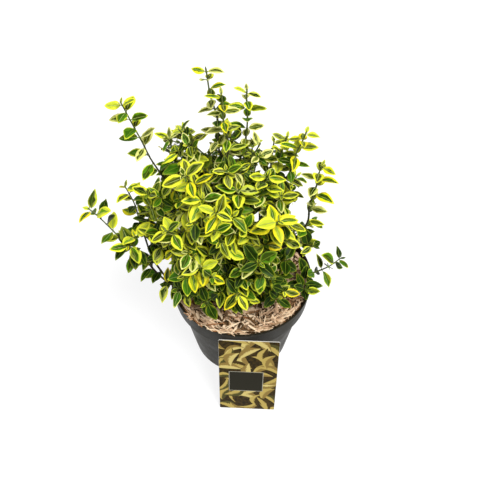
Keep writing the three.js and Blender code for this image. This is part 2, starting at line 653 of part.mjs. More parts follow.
// Limbs and masses, grown in rounds so that no mass takes all the room: stems, then twigs, then leaves.
// A twig or leaf that would touch a limb or another mass, or leave its mass's space, isn't grown.
function makeCrown(fixed) {
  const feet = spreadFeet(CROWN);
  const head = new THREE.Vector3(0, 0, STOOL_HEAD_HEIGHT);
  const placed = [...fixed];
  const boughs = [];
  const masses = [];
  const keep = (solid, owner) => placed.push({ solid, box: boxOf(solid), owner });
  const blocked = (solid, test) => {
    const box = boxOf(solid);
    return placed.some((other) => test(other.owner) && box.intersectsBox(other.box)
      && !solid.intersect(other.solid).isEmpty());
  };
  CROWN.forEach((row, index) => {
    const out = feet[index];
    let start = head.clone().addScaledVector(out, STOOL_HEAD + GAP);
    let startWay = out.clone();
    if (row.bough) {
      const centre = rowCentre(row);
      const tip = row.tip ? row.tip.clone() : start.clone().lerp(centre, BOUGH_SHARE);
      const tipWay = centre.clone().sub(tip).normalize().addScaledVector(out, FOOT_PULL).normalize();
      const solid = limb(sweep(start, startWay, tip, tipWay), BOUGH_SIDES, BOUGH_STEPS, BOUGH_FOOT, BOUGH_TIP);
      boughs.push({ name: row.bough, solid });
      keep(solid, row.bough);
      start = tip.addScaledVector(tipWay, GAP);
      startWay = tipWay;
    }
    row.shoots.forEach((plan, fork) => {
      const origin = start.clone();
      if (row.shoots.length > 1) {
        const apart = plan.tip.clone().sub(row.shoots[1 - fork].tip);
        apart.addScaledVector(startWay, -apart.dot(startWay)).setLength(FORK_OFFSET);
        origin.add(apart);
      }
      const endWay = direction(plan.azimuth, plan.rise);
      const end = plan.tip.clone().addScaledVector(endWay, -plan.leaf * TIP_LEAF);
      const stem = sweep(origin, startWay, end, endWay);
      const level = direction(plan.azimuth + 90, 0);
      const grown = grow(stem, level, plan, CROWN_SEED + 97 * masses.length);
      masses.push({ name: plan.name, stem, level, grown });
      keep(limb(stem, TEST_SIDES, TEST_STEPS, STEM_RADIUS, STEM_TIP), plan.name);
    });
  });
  for (const mass of masses) {
    mass.grown.twigs = mass.grown.twigs.filter(({ curve }) => {
      const room = limb(curve, TEST_SIDES, TWIG_STEPS, TWIG_RADIUS + LEAF_CLEAR, STEM_TIP + LEAF_CLEAR);
      const clear = curve.getPointAt(1).z > MULCH_CENTRE + FLOOR_ROOM;
      return clear && !blocked(room, (owner) => owner !== mass.name);
    });
    for (const { pair, side, curve } of mass.grown.twigs) {
      pair.leaves[side].branched = true;
      keep(limb(curve, TEST_SIDES, TWIG_STEPS, TWIG_RADIUS, STEM_TIP), mass.name);
    }
  }
  const mostPairs = Math.max(...masses.map(({ grown }) => grown.pairs.length));
  for (let node = 0; node < mostPairs; node++) {
    for (const { name, stem, grown } of masses) {
      const reachable = stem.getPoints(TEST_STEPS);
      for (const { pairs } of [grown, ...grown.twigs]) {
        for (const leaf of pairs[node]?.leaves ?? []) {
          const { tip } = leafPoints(leaf);
          leaf.free = !leaf.branched && tip.z > MULCH_CENTRE + FLOOR_ROOM
            && reachable.some((point) => point.distanceTo(tip) < MASS_REACH)
            && !blocked(leafRoom(leaf, LEAF_CLEAR, LEAF_START), (owner) => owner !== name)
            && !blocked(leafRoom(leaf, 0, LEAF_FREE), (owner) => owner === name);
          if (leaf.free) {
            keep(leafRoom(leaf, 0, LEAF_START), name);
          }
        }
      }
    }
  }
  return { boughs, masses };
}

function place(group, name, geometry, material) {
  const mesh = new THREE.Mesh(geometry, material);
  mesh.name = name;
  group.add(mesh);
  return mesh;
}

const plant = new THREE.Group();
place(plant, 'pot', makePot(), PLASTIC);
place(plant, 'mulch', makeMulch(), BARK_CHIPS);
const stool = place(plant, 'trunk', makeStool(), OLD_WOOD);

const cardStand = new THREE.Group();
cardStand.position.copy(CARD_FOOT);
cardStand.rotation.set(Math.PI / 2 - CARD_LEAN, 0, CARD_TURN, 'ZXY');
place(cardStand, 'picture_card', makeCard(), CARD);
plant.add(cardStand);

const stoolSolid = toSolid(stool.geometry);
const crown = makeCrown([{ solid: stoolSolid, box: boxOf(stoolSolid), owner: 'trunk' }]);
for (const { name, solid } of crown.boughs) {
  place(plant, name, toGeometry(solid), OLD_WOOD);
}
crown.masses.forEach((mass, index) => {
  place(plant, `mass_${mass.name}`, toGeometry(massSkin(mass)), LEAF_TINTS[index % LEAF_TINTS.length]);
});

export default plant;
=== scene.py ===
# %% [markdown]
# # A potted wintercreeper
# A young variegated shrub, as a nursery sells it: forty leafy shoots on a short woody stool, in a
# three-litre pot topped with bark mulch, with a picture card leaning on the pot. The solids give every
# piece its place and size. This script dresses them: it grows each shoot again by the same rule with finer
# twigs and real leaves, and models the pot, the mulch and the card more closely. Lengths are millimetres.

# %% Load the frame
import math

import bpy
import numpy as np
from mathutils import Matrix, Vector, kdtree


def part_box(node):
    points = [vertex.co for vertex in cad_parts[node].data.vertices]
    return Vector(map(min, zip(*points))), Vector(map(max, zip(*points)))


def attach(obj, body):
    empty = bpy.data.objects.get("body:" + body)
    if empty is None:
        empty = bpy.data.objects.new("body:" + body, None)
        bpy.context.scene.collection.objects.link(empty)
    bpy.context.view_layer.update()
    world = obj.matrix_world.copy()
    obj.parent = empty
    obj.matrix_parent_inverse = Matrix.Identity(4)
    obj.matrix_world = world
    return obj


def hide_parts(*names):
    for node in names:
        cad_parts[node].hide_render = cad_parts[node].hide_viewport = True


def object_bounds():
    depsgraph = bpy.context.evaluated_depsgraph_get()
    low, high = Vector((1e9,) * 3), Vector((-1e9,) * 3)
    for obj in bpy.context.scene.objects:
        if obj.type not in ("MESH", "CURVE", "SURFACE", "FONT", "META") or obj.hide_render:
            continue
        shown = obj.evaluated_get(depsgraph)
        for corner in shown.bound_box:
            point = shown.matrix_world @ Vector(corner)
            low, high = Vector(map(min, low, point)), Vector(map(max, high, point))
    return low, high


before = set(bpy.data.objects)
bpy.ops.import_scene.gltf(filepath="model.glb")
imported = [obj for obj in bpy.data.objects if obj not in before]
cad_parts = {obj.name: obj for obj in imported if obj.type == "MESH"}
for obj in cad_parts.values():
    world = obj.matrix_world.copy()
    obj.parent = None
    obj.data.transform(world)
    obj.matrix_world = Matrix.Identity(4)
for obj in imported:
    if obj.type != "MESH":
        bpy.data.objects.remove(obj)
cad_box = [list(corner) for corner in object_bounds()]
MM = 0.001
RIM_RADIUS, _, POT_HEIGHT = np.array(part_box("pot")[1]) / MM
print("pot", RIM_RADIUS, POT_HEIGHT)

# %% [markdown]
# ## Camera and studio
# The photograph looks down on the plant by almost half a right angle, from close by, so that the pot
# narrows quickly towards its foot. A short lens near the plant gives the same perspective. The light is
# soft: one very wide lamp high on the right, a weaker one on the left and an even, dimmer room. Both lamps
# are suns, so that the white ground is lit evenly to the edges of the picture.

# %% Camera
CAMERA_PLACE = (-0.0019, -0.3644, 0.6418)
CAMERA_TILT = math.radians(40.76)
CAMERA_LENS = 33.75

camera = bpy.data.objects.new("camera", bpy.data.cameras.new("camera"))
camera.data.sensor_width = 36
camera.data.lens = CAMERA_LENS
camera.data.clip_start = 0.01
camera.location = CAMERA_PLACE
camera.rotation_euler = (CAMERA_TILT, 0, 0)
bpy.context.scene.collection.objects.link(camera)
bpy.context.scene.camera = camera

# %% Lights
ROOM_LIGHT = 0.28
# Each lamp: azimuth and height of the side it shines from, in degrees, its width in degrees, and its power
LAMPS = {"lamp_right": (-42, 58, 30, 3.3), "lamp_left": (-160, 45, 60, 0.9)}


def studio():
    """Two wide lamps that shine towards the plant, and an even room."""
    world = bpy.data.worlds.new("room")
    world.use_nodes = True
    world.node_tree.nodes["Background"].inputs["Color"].default_value = (1, 1, 1, 1)
    world.node_tree.nodes["Background"].inputs["Strength"].default_value = ROOM_LIGHT
    bpy.context.scene.world = world
    bpy.context.scene.view_settings.view_transform = "Standard"
    for name, (azimuth, height, width, power) in LAMPS.items():
        lamp = bpy.data.objects.new(name, bpy.data.lights.new(name, "SUN"))
        lamp.data.angle = math.radians(width)
        lamp.data.energy = power
        lamp.rotation_euler = (math.radians(90 - height), 0, math.radians(azimuth + 90))
        bpy.context.scene.collection.objects.link(lamp)


studio()

# %% [markdown]
# ## From arrays to meshes
# Every new piece is worked out with numpy as whole arrays of points and faces. One helper puts such arrays
# into a mesh, and a small collector joins thousands of leaves, twigs or chips into a few pieces.

# %% Mesh helpers
def unit(vectors):
    """Vectors scaled to length one, along the last axis."""
    vectors = np.asarray(vectors, float)
    return vectors / np.maximum(np.linalg.norm(vectors, axis=-1, keepdims=True), 1e-12)


def make_piece(name, points, faces, looks, face_looks=None, smooth=True):
    """A mesh from points in millimetres and a list of face arrays, three or four corners wide. face_looks
    holds the number of each face's material in looks."""
    sizes = np.concatenate([np.full(len(each), each.shape[1]) for each in faces])
    corners = np.concatenate([each.ravel() for each in faces])
    mesh = bpy.data.meshes.new(name)
    mesh.vertices.add(len(points))
    mesh.vertices.foreach_set("co", (np.asarray(points) * MM).ravel())
    mesh.loops.add(len(corners))
    mesh.loops.foreach_set("vertex_index", corners.astype(np.int32))
    mesh.polygons.add(len(sizes))
    mesh.polygons.foreach_set("loop_start", (np.cumsum(sizes) - sizes).astype(np.int32))
    mesh.polygons.foreach_set("use_smooth", np.full(len(sizes), smooth))
    for look in looks:
        mesh.materials.append(look)
    if face_looks is not None:
        mesh.polygons.foreach_set("material_index", np.asarray(face_looks, np.int32))
    mesh.update(calc_edges=True)
    piece = bpy.data.objects.new(name, mesh)
    bpy.context.scene.collection.objects.link(piece)
    return piece


def finish_piece(piece, slot, *nodes):
    """The piece rides on the plant's one body and stands for the nodes, if any, which it hides. slot is not
    used.
    """
    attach(piece, "root")
    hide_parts(*nodes)
    triangles = sum(len(face.vertices) - 2 for face in piece.data.polygons)
    print(piece.name, triangles, "triangles")


def grid_faces(rows, columns, closed=False):
    """Quads between neighbouring rows and columns of a grid. closed joins the last column to the first."""
    column = np.arange(columns if closed else columns - 1)
    start = (np.arange(rows - 1) * columns)[:, None]
    left, right = start + column, start + (column + 1) % columns
    return np.stack([left, right, right + columns, left + columns], axis=-1).reshape(-1, 4)


def fan_faces(ring, middle, flip=False):
    """Triangles from a closed ring of point numbers to one middle point."""
    ring = np.asarray(ring)
    after = np.roll(ring, -1)
    pair = (after, ring) if flip else (ring, after)
    return np.stack([*pair, np.full(len(ring), middle)], axis=-1)


# %% Collect small shapes
class Gathered:
    """Many small shapes, joined into one set of points and faces with a material number for each face. Each
    shape brings its face arrays and, for each of them, one material number or a number for every face."""

    def __init__(self):
        self.points, self.faces, self.looks, self.count = [], {3: [], 4: []}, {3: [], 4: []}, 0

    def add(self, points, faces, looks):
        for each, look in zip(faces, looks):
            width = each.shape[1]
            self.faces[width].append(each + self.count)
            self.looks[width].append(np.broadcast_to(look, len(each)))
        self.points.append(points)
        self.count += len(points)

    def piece(self, name, looks, smooth=True):
        widths = [width for width in (4, 3) if self.faces[width]]
        faces = [np.concatenate(self.faces[width]) for width in widths]
        face_looks = np.concatenate([look for width in widths for look in self.looks[width]])
        return make_piece(name, np.concatenate(self.points), faces, looks, face_looks, smooth)


# %% Waves and tubes
def waves(points, size, count, seed):
    """A rough field, mostly between -1 and 1: sine waves of about that size in random directions, summed and
    divided by the root of their count."""
    random = np.random.default_rng(seed)
    ways = unit(random.normal(size=(count, 3))) * (2 * math.pi / size) * random.uniform(0.7, 1.5, (count, 1))
    phases = random.uniform(0, 2 * math.pi, count)
    return np.sin(points @ ways.T + phases).sum(axis=-1) / math.sqrt(count)


def tube(path, radii, sides, level, corners=0.0):
    """Rings round a path, closed at both ends. level sets where each ring starts, and corners makes a round
    stem slightly four-sided."""
    ways = unit(np.gradient(path, axis=0))
    across = unit(level - (ways * level).sum(axis=1, keepdims=True) * ways)
    upward = np.cross(ways, across)
    angle = np.arange(sides) * 2 * math.pi / sides
    swell = 1 + corners * np.cos(4 * angle)
    ring = np.cos(angle)[:, None] * across[:, None] + np.sin(angle)[:, None] * upward[:, None]
    rings = path[:, None] + ring * (np.asarray(radii)[:, None] * swell)[..., None]
    points = np.concatenate([rings.reshape(-1, 3), path[:1], path[-1:] + ways[-1:] * radii[-1]])
    last = (len(path) - 1) * sides + np.arange(sides)
    caps = np.concatenate([
        fan_faces(np.arange(sides), len(points) - 2, flip=True),
        fan_faces(last, len(points) - 1),
    ])
    return points, [grid_faces(len(path), sides, closed=True), caps]


# %% [markdown]
# ## Finishes
# Leaves, stems and chips are so many and so small that each takes one plain colour from a short list, dealt
# out leaf by leaf. The large quiet surfaces, such as the pot, the old wood and the card, get patterns from
# nodes. Three effects are shared as groups: blotches of two colours, fine grain, and dust.

# %% Materials
def plain_look(name, colour, roughness, gloss=0.15):
    """One even colour with its gloss, as linear red, green and blue."""
    look = bpy.data.materials.new(name)
    look.use_nodes = True
    shader = look.node_tree.nodes["Principled BSDF"]
    shader.inputs["Base Color"].default_value = (*colour, 1)
    shader.inputs["Roughness"].default_value = roughness
    shader.inputs["Specular IOR Level"].default_value = gloss
    return look


# %% Node groups and trees
def new_group(name, takes, gives):
    """A shader node group with named inputs and outputs, and its two end nodes."""
    group = bpy.data.node_groups.new(name, "ShaderNodeTree")
    for label, kind, value in takes:
        socket = group.interface.new_socket(label, in_out="INPUT", socket_type=f"NodeSocket{kind}")
        if value is not None:
            socket.default_value = value
    for label, kind in gives:
        group.interface.new_socket(label, in_out="OUTPUT", socket_type=f"NodeSocket{kind}")
    return group, group.nodes.new("NodeGroupInput"), group.nodes.new("NodeGroupOutput")


class Tree:
    """Short calls that add a node to a tree, set its values and link its inputs."""

    def __init__(self, tree):
        self.tree = tree

    def node(self, kind, settings=None, **inputs):
        """A new node. An input goes by its socket's name with _ for a space, or by i and its number."""
        node = self.tree.nodes.new(kind)
        for label, value in (settings or {}).items():
            setattr(node, label, value)
        for label, value in inputs.items():
            socket = int(label[1:]) if label[1:].isdigit() else label.replace("_", " ")
            self.feed(node.inputs[socket], value)
        return node

    def feed(self, socket, value):
        if isinstance(value, bpy.types.NodeSocket):
            self.tree.links.new(value, socket)
        else:
            socket.default_value = value

    def maths(self, operation, *values):
        inputs = {f"i{index}": value for index, value in enumerate(values)}
        return self.node("ShaderNodeMath", {"operation": operation}, **inputs).outputs[0]

    def mix(self, share, one, other):
        node = self.node("ShaderNodeMix", {"data_type": "RGBA"})
        self.feed(node.inputs["Factor"], share)
        self.feed(node.inputs[6], one)
        self.feed(node.inputs[7], other)
        return node.outputs[2]

    def ramp(self, value, low, high):
        node = self.node("ShaderNodeMapRange", {"interpolation_type": "SMOOTHSTEP"}, Value=value)
        node.inputs["From Min"].default_value = low
        node.inputs["From Max"].default_value = high
        return node.outputs["Result"]


# %% Shared effects
# About how many of the dust's specks and clouds fit in a metre
SPECK_SCALE, CLOUD_SCALE = 260.0, 28.0


def blotches_group():
    """Two colours in soft blotches: layered noise of the given size decides between them."""
    group, start, end = new_group(
        "blotches",
        [("Place", "Vector", None), ("One", "Color", None), ("Other", "Color", None),
         ("Size", "Float", 0.01)],
        [("Colour", "Color"), ("Share", "Float")],
    )
    tree = Tree(group)
    scale = tree.maths("DIVIDE", 1.0, start.outputs["Size"])
    noise = tree.node("ShaderNodeTexNoise", Vector=start.outputs["Place"], Scale=scale, Detail=5.0)
    share = tree.ramp(noise.outputs["Fac"], 0.35, 0.65)
    tree.feed(end.inputs["Share"], share)
    tree.feed(end.inputs["Colour"], tree.mix(share, start.outputs["One"], start.outputs["Other"]))
    return group


def grain_group():
    """Fine moulded or fibrous grain, as a height for a Bump node."""
    group, start, end = new_group(
        "grain", [("Place", "Vector", None), ("Size", "Float", 0.001)], [("Height", "Float")]
    )
    tree = Tree(group)
    scale = tree.maths("DIVIDE", 1.0, start.outputs["Size"])
    noise = tree.node("ShaderNodeTexNoise", Vector=start.outputs["Place"], Scale=scale, Detail=3.0)
    tree.feed(end.inputs["Height"], noise.outputs["Fac"])
    return group


def dust_group():
    """Dust and splashed soil: specks that thicken below a height, and lie thin and in clouds elsewhere."""
    group, start, end = new_group(
        "dust",
        [("Place", "Vector", None), ("Thick below", "Float", 0.02), ("Colour", "Color", None),
         ("Dust colour", "Color", None), ("Most", "Float", 0.5)],
        [("Colour", "Color"), ("Share", "Float")],
    )
    tree, given = Tree(group), start.outputs
    place = given["Place"]
    height = tree.node("ShaderNodeSeparateXYZ", Vector=place).outputs["Z"]
    above = tree.ramp(tree.maths("DIVIDE", height, given["Thick below"]), 0.2, 1.0)
    low = tree.maths("SUBTRACT", 1.0, above)
    fine = tree.node("ShaderNodeTexNoise", Vector=place, Scale=SPECK_SCALE, Detail=6.0, Roughness=0.7)
    wide = tree.node("ShaderNodeTexNoise", Vector=place, Scale=CLOUD_SCALE, Detail=3.0)
    specks, clouds = fine.outputs["Fac"], wide.outputs["Fac"]
    thin = tree.maths("MULTIPLY", tree.ramp(specks, 0.5, 0.75), tree.ramp(clouds, 0.4, 0.7))
    thick = tree.maths("MULTIPLY", low, tree.ramp(specks, 0.3, 0.6))
    share = tree.maths("MULTIPLY", tree.maths("MAXIMUM", thin, thick), given["Most"])
    tree.feed(end.inputs["Share"], share)
    tree.feed(end.inputs["Colour"], tree.mix(share, given["Colour"], given["Dust colour"]))
    return group


BLOTCHES, GRAIN, DUST = blotches_group(), grain_group(), dust_group()


def patterned_look(name, gloss=0.12):
    """A new material, its node tree helper, its shader and its Object coordinates."""
    look = bpy.data.materials.new(name)
    look.use_nodes = True
    tree = Tree(look.node_tree)
    place = tree.node("ShaderNodeTexCoord").outputs["Object"]
    shader = look.node_tree.nodes["Principled BSDF"]
    shader.inputs["Specular IOR Level"].default_value = gloss
    return look, tree, shader, place


def place_group(tree, group, **inputs):
    """A node group placed in a material, with its inputs set or linked by name."""
    return tree.node("ShaderNodeGroup", {"node_tree": group}, **inputs)


def add_bump(tree, shader, height, distance):
    """Relief from a height, that far from its lowest to its highest, in metres."""
    bump = tree.node("ShaderNodeBump", Height=height, Distance=distance, Strength=1.0)
    tree.feed(shader.inputs["Normal"], bump.outputs["Normal"])


# %% [markdown]
# ## The pot
# The real pot is thin black polypropylene, blow-moulded: a collar with a beaded rim, a step, and a body that
# tapers to a flat base with drain holes. It is turned from one outline whose corners are rounded by small
# arcs, so that light catches them as it does on moulded plastic. The holes are cut by a Boolean.

# %% Pot sizes
BEAD_HEIGHT, BEAD_DEPTH = 3.5, 0.7
COLLAR_HEIGHT, COLLAR_TAPER = 33, 1.2
STEP_DEPTH, STEP_HEIGHT = 5.8, 2
BASE_RADIUS, BASE_RECESS, FOOT_RING = 73, 1.2, 7
POT_WALL, POT_FLOOR, POT_SIDES = 1.5, 2, 160
DRAIN_HOLES, DRAIN_RADIUS, DRAIN_RING = 6, 5, 52
DRILL_SIDES, DRILL_PAST, SHARP_EDGE = 28, 2, math.radians(40)
PLASTIC_COLOUR, PLASTIC_WORN = (0.014, 0.012, 0.006, 1), (0.022, 0.019, 0.010, 1)
PLASTIC_GLOSS, PLASTIC_ROUGH, WORN_ROUGH, DUST_ROUGH = 0.05, 0.36, 0.1, 0.8
POT_DUST, POT_DUST_BELOW, POT_DUST_MOST = (0.22, 0.18, 0.13, 1), 0.012, 0.25
WEAR_SIZE, PLASTIC_GRAIN, PLASTIC_GRAIN_DEPTH = 0.02, 0.0011, 0.00012


# %% Pot outline
def rounded(outline, steps=5):
    """An outline of (radius, height, rounding) corners, each corner replaced by points of a small curve
    that touches both sides."""
    corners = np.array([corner[:2] for corner in outline], float)
    points = []
    for index, (r, z, rounding) in enumerate(outline):
        if rounding == 0 or index in (0, len(outline) - 1):
            points.append(corners[index])
            continue
        back, ahead = corners[index - 1] - corners[index], corners[index + 1] - corners[index]
        reach = min(rounding, 0.45 * np.linalg.norm(back), 0.45 * np.linalg.norm(ahead))
        first, last = corners[index] + unit(back) * reach, corners[index] + unit(ahead) * reach
        for t in np.linspace(0, 1, steps):
            points.append((1 - t) ** 2 * first + 2 * t * (1 - t) * corners[index] + t * t * last)
    return np.array(points)


def turned(outline, sides):
    """A closed body turned about Z from an outline that starts and ends on the axis."""
    rings = outline[1:-1]
    angle = np.arange(sides) * 2 * math.pi / sides
    points = np.stack([
        rings[:, :1] * np.cos(angle), rings[:, :1] * np.sin(angle), np.repeat(rings[:, 1:], sides, axis=1),
    ], axis=-1).reshape(-1, 3)
    ends = np.array([[0, 0, outline[0][1]], [0, 0, outline[-1][1]]])
    last = (len(rings) - 1) * sides + np.arange(sides)
    caps = np.concatenate([
        fan_faces(np.arange(sides), len(points), flip=True), fan_faces(last, len(points) + 1),
    ])
    return np.concatenate([points, ends]), [grid_faces(len(rings), sides, closed=True), caps]


def pot_outline():
    """Radius, height and rounding of each corner, from the middle underneath, round the rim, to the floor's
    middle."""
    collar_foot, collar = POT_HEIGHT - COLLAR_HEIGHT, RIM_RADIUS - BEAD_DEPTH
    return [
        (0, BASE_RECESS, 0),
        (BASE_RADIUS - FOOT_RING, BASE_RECESS, 0.6),
        (BASE_RADIUS - FOOT_RING + 1, 0, 0.6),
        (BASE_RADIUS, 0, 1.8),
        (collar - COLLAR_TAPER - STEP_DEPTH, collar_foot, 1.2),
        (collar - COLLAR_TAPER, collar_foot + STEP_HEIGHT, 1.4),
        (collar, POT_HEIGHT - BEAD_HEIGHT, 0.5),
        (RIM_RADIUS, POT_HEIGHT - BEAD_HEIGHT + 0.8, 0.6),
        (RIM_RADIUS, POT_HEIGHT, 0.9),
        (collar - POT_WALL, POT_HEIGHT, 0.7),
        (collar - POT_WALL - COLLAR_TAPER, collar_foot + STEP_HEIGHT + POT_WALL / 2, 1.2),
        (collar - POT_WALL - COLLAR_TAPER - STEP_DEPTH, collar_foot + POT_WALL / 2, 1.2),
        (BASE_RADIUS - POT_WALL, POT_FLOOR, 1.5),
        (0, POT_FLOOR, 0),
    ]


# %% Pot plastic
def plastic_look():
    """Satin black plastic: faint cloudy wear, moulded grain, and dust that thickens near the ground."""
    look, tree, shader, place = patterned_look("pot_plastic", PLASTIC_GLOSS)
    wear = place_group(tree, BLOTCHES, Place=place, One=PLASTIC_COLOUR, Other=PLASTIC_WORN, Size=WEAR_SIZE)
    dust = place_group(tree, DUST, Place=place, Thick_below=POT_DUST_BELOW, Colour=wear.outputs["Colour"],
                       Dust_colour=POT_DUST, Most=POT_DUST_MOST)
    tree.feed(shader.inputs["Base Color"], dust.outputs["Colour"])
    worn = tree.maths("MULTIPLY", wear.outputs["Share"], WORN_ROUGH)
    dusty = tree.maths("MULTIPLY", dust.outputs["Share"], DUST_ROUGH)
    tree.feed(shader.inputs["Roughness"], tree.maths("ADD", tree.maths("ADD", PLASTIC_ROUGH, worn), dusty))
    grain = place_group(tree, GRAIN, Place=place, Size=PLASTIC_GRAIN)
    add_bump(tree, shader, grain.outputs["Height"], PLASTIC_GRAIN_DEPTH)
    return look


# %% Turn the pot
def bored(points, faces):
    """The pot with its drain holes cut through the floor, as one applied Boolean."""
    body = make_piece("pot_body", points, faces, [plastic_look()])
    drills = Gathered()
    for hole in range(DRAIN_HOLES):
        angle = 2 * math.pi * (hole + 0.5) / DRAIN_HOLES
        middle = np.array([DRAIN_RING * math.cos(angle), DRAIN_RING * math.sin(angle), 0])
        path = middle + np.array([[0, 0, -DRILL_PAST], [0, 0, POT_FLOOR + DRILL_PAST]])
        drills.add(*tube(path, [DRAIN_RADIUS, DRAIN_RADIUS], DRILL_SIDES, np.array([1.0, 0, 0])), (0, 0))
    drill = drills.piece("drills", [])
    cut = body.modifiers.new("drain holes", "BOOLEAN")
    cut.object = drill
    cut.solver = "EXACT"
    bpy.context.view_layer.update()
    body.data = bpy.data.meshes.new_from_object(body.evaluated_get(bpy.context.evaluated_depsgraph_get()))
    body.modifiers.clear()
    bpy.data.objects.remove(drill)
    body.data.set_sharp_from_angle(angle=SHARP_EDGE)
    return body


finish_piece(bored(*turned(rounded(pot_outline()), POT_SIDES)), "pot_plastic", "pot")

# %% [markdown]
# ## The bark mulch
# The pot is topped with shredded bark and straw-coloured wood: splinters up to 24 mm long, small chunks and
# fine fibres, with dark gaps between them. Near the wall the chips run along it, and at the front a few lie
# on the rim. A dark rough bed fills the pot, and some two thousand chips of these five kinds lie on it in
# seven plain tints. Each kind is worked out at once, as arrays.

# %% Mulch bed
GAP = 0.3
MULCH_EDGE, MULCH_CENTRE, MULCH_FLAT = 142.5, 149, 24
MULCH_TILT, MULCH_ROUGHNESS = 2.4, 1.1
BANK_HEIGHT, BANK_START, BANK_SIDE = 3.6, 0.6, math.radians(248)
BED_RINGS, BED_SIDES, BED_RELIEF, BED_WALL_TOP = 60, 220, 0.9, MULCH_EDGE - 3
# The bed's two reliefs: size, how many waves, seed, and share
BED_CRUMBS = ((5, 24, 3, 1), (2.5, 24, 4, 0.7))
BED_DARK, BED_BROWN, BED_ROUGH = (0.060, 0.034, 0.015, 1), (0.150, 0.085, 0.038, 1), 0.95
BED_BLOTCH, BED_GRAIN, BED_GRAIN_DEPTH = 0.003, 0.0012, 0.001


def mulch_height(x, y):
    """Height of the mulch: domed, lower to the right, level round the stool, and banked up to the front rim.
    Sine waves roughen it, as they do in the solid."""
    out = np.maximum(0, (np.hypot(x, y) - MULCH_FLAT) / (RIM_RADIUS - MULCH_FLAT))
    dome = MULCH_CENTRE + (MULCH_EDGE - MULCH_CENTRE) * out * out
    rough = np.sin(x * 0.21 + 1) * np.cos(y * 0.17) + 0.6 * np.sin((x + y) * 0.39)
    facing = np.maximum(0, np.cos(np.arctan2(y, x) - BANK_SIDE))
    bank = np.clip((out - BANK_START) / (1 - BANK_START), 0, 1) * facing
    return (dome - MULCH_TILT * x * out / RIM_RADIUS + BANK_HEIGHT * bank
            + MULCH_ROUGHNESS * rough * np.minimum(1, 3 * out))


def mulch_bed():
    """The filling of the pot: its outer wall follows the pot's inside, its top the mulch height with a
    crumbly relief of small waves."""
    collar_foot, wall_top = POT_HEIGHT - COLLAR_HEIGHT, RIM_RADIUS - BEAD_DEPTH - POT_WALL
    foot = BASE_RADIUS - POT_WALL
    outer = np.array([
        [0, POT_FLOOR + GAP],
        [foot - 2 * GAP, POT_FLOOR + GAP],
        [wall_top - COLLAR_TAPER - STEP_DEPTH - GAP, collar_foot + POT_WALL / 2 + GAP],
        [wall_top - COLLAR_TAPER - GAP, collar_foot + STEP_HEIGHT + POT_WALL / 2 + GAP],
        [wall_top - 2 * GAP, BED_WALL_TOP],
    ])
    edge = wall_top - 1.5 * GAP
    top = np.stack([np.linspace(edge, 0, BED_RINGS), np.full(BED_RINGS, MULCH_EDGE)], axis=1)
    points, faces = turned(np.concatenate([outer, top]), BED_SIDES)
    up = points[:, 2] >= MULCH_EDGE
    surface = points[up]
    relief = sum(share * waves(surface, size, count, seed) for size, count, seed, share in BED_CRUMBS)
    points[up, 2] = mulch_height(surface[:, 0], surface[:, 1]) + BED_RELIEF * (relief - 1)
    look, tree, shader, place = patterned_look("bed")
    colours = place_group(tree, BLOTCHES, Place=place, One=BED_DARK, Other=BED_BROWN, Size=BED_BLOTCH)
    tree.feed(shader.inputs["Base Color"], colours.outputs["Colour"])
    shader.inputs["Roughness"].default_value = BED_ROUGH
    grain = place_group(tree, GRAIN, Place=place, Size=BED_GRAIN)
    add_bump(tree, shader, grain.outputs["Height"], BED_GRAIN_DEPTH)
    return make_piece("mulch_bed", points, faces, [look])


finish_piece(mulch_bed(), "bark_mulch", "mulch")

# %% Wood chips
CHIP_TINTS = {
    "chip_straw": (0.88, 0.68, 0.46),
    "chip_pale": (0.70, 0.50, 0.32),
    "chip_pink": (0.55, 0.36, 0.22),
    "chip_tan": (0.38, 0.24, 0.13),
    "chip_rust": (0.33, 0.15, 0.06),
    "chip_brown": (0.14, 0.075, 0.032),
    "chip_dark": (0.045, 0.024, 0.010),
}
CHIP_SHARES = (0.27, 0.24, 0.16, 0.12, 0.07, 0.08, 0.06)
CHIP_ROUGH, CHIP_GLOSS, CHIP_SEED = 0.85, 0.05, 50
# Each kind: how many, how long, wide and thick, how far they pile up, and the ring and azimuths they lie in
CHIP_KINDS = {
    "splinters": {"count": 1080, "long": (9, 24), "wide": (1.3, 3.4), "thick": (0.9, 1.9), "rise": 4.4,
                  "ring": (9, 89), "around": (0, 360)},
    "chunks": {"count": 420, "long": (4, 9), "wide": (2.6, 5.6), "thick": (1.6, 3.4), "rise": 3.4,
               "ring": (9, 89), "around": (0, 360)},
    "fibres": {"count": 340, "long": (10, 26), "wide": (0.5, 1.0), "thick": (0.4, 0.7), "rise": 4.4,
               "ring": (9, 89), "around": (0, 360)},
    "edging": {"count": 280, "long": (6, 15), "wide": (1.4, 3.4), "thick": (0.8, 1.6), "rise": 1.2,
               "ring": (86, 91.4), "around": (0, 360)},
    "spill": {"count": 26, "long": (6, 15), "wide": (1.1, 2.8), "thick": (0.8, 1.5), "rise": 0.6,
              "ring": (91.6, 95), "around": (222, 262)},
}
# A chip's rings and sides, how slim it is at each ring, and how far its rings, edges, ends and bend vary
CHIP_RINGS, CHIP_SIDES, CHIP_SLIM = 5, 5, (0.62, 0.95, 1, 0.9, 0.5)
RING_VARIES, EDGE_VARIES, END_VARIES, CHIP_BEND = (0.8, 1.2), (0.75, 1.25), 0.05, 0.05
# How chips lie: their tilt and roll, how they bundle, and how far they may sink into the bed
CHIP_TILT, RIM_TILT, CHIP_ROLL = 0.26, 0.3, 0.35
BUNDLE_SIZE, BUNDLE_WAVES, BUNDLE_SEED, BUNDLE_STRAY, ODD_CHIPS = 40, 12, 8, 0.34, 0.2
CHIP_SINKS, CHIP_LIFT, END_SINKS = 0.6, 0.5, 1.5
# The wall and the rim: how near the wall chips begin to follow it, how well they do, and where they stop
WALL_NEAR, WALL_STRAY, WALL_INSIDE, RIM_LEDGE = 6, 0.4, 91.5, 3.5


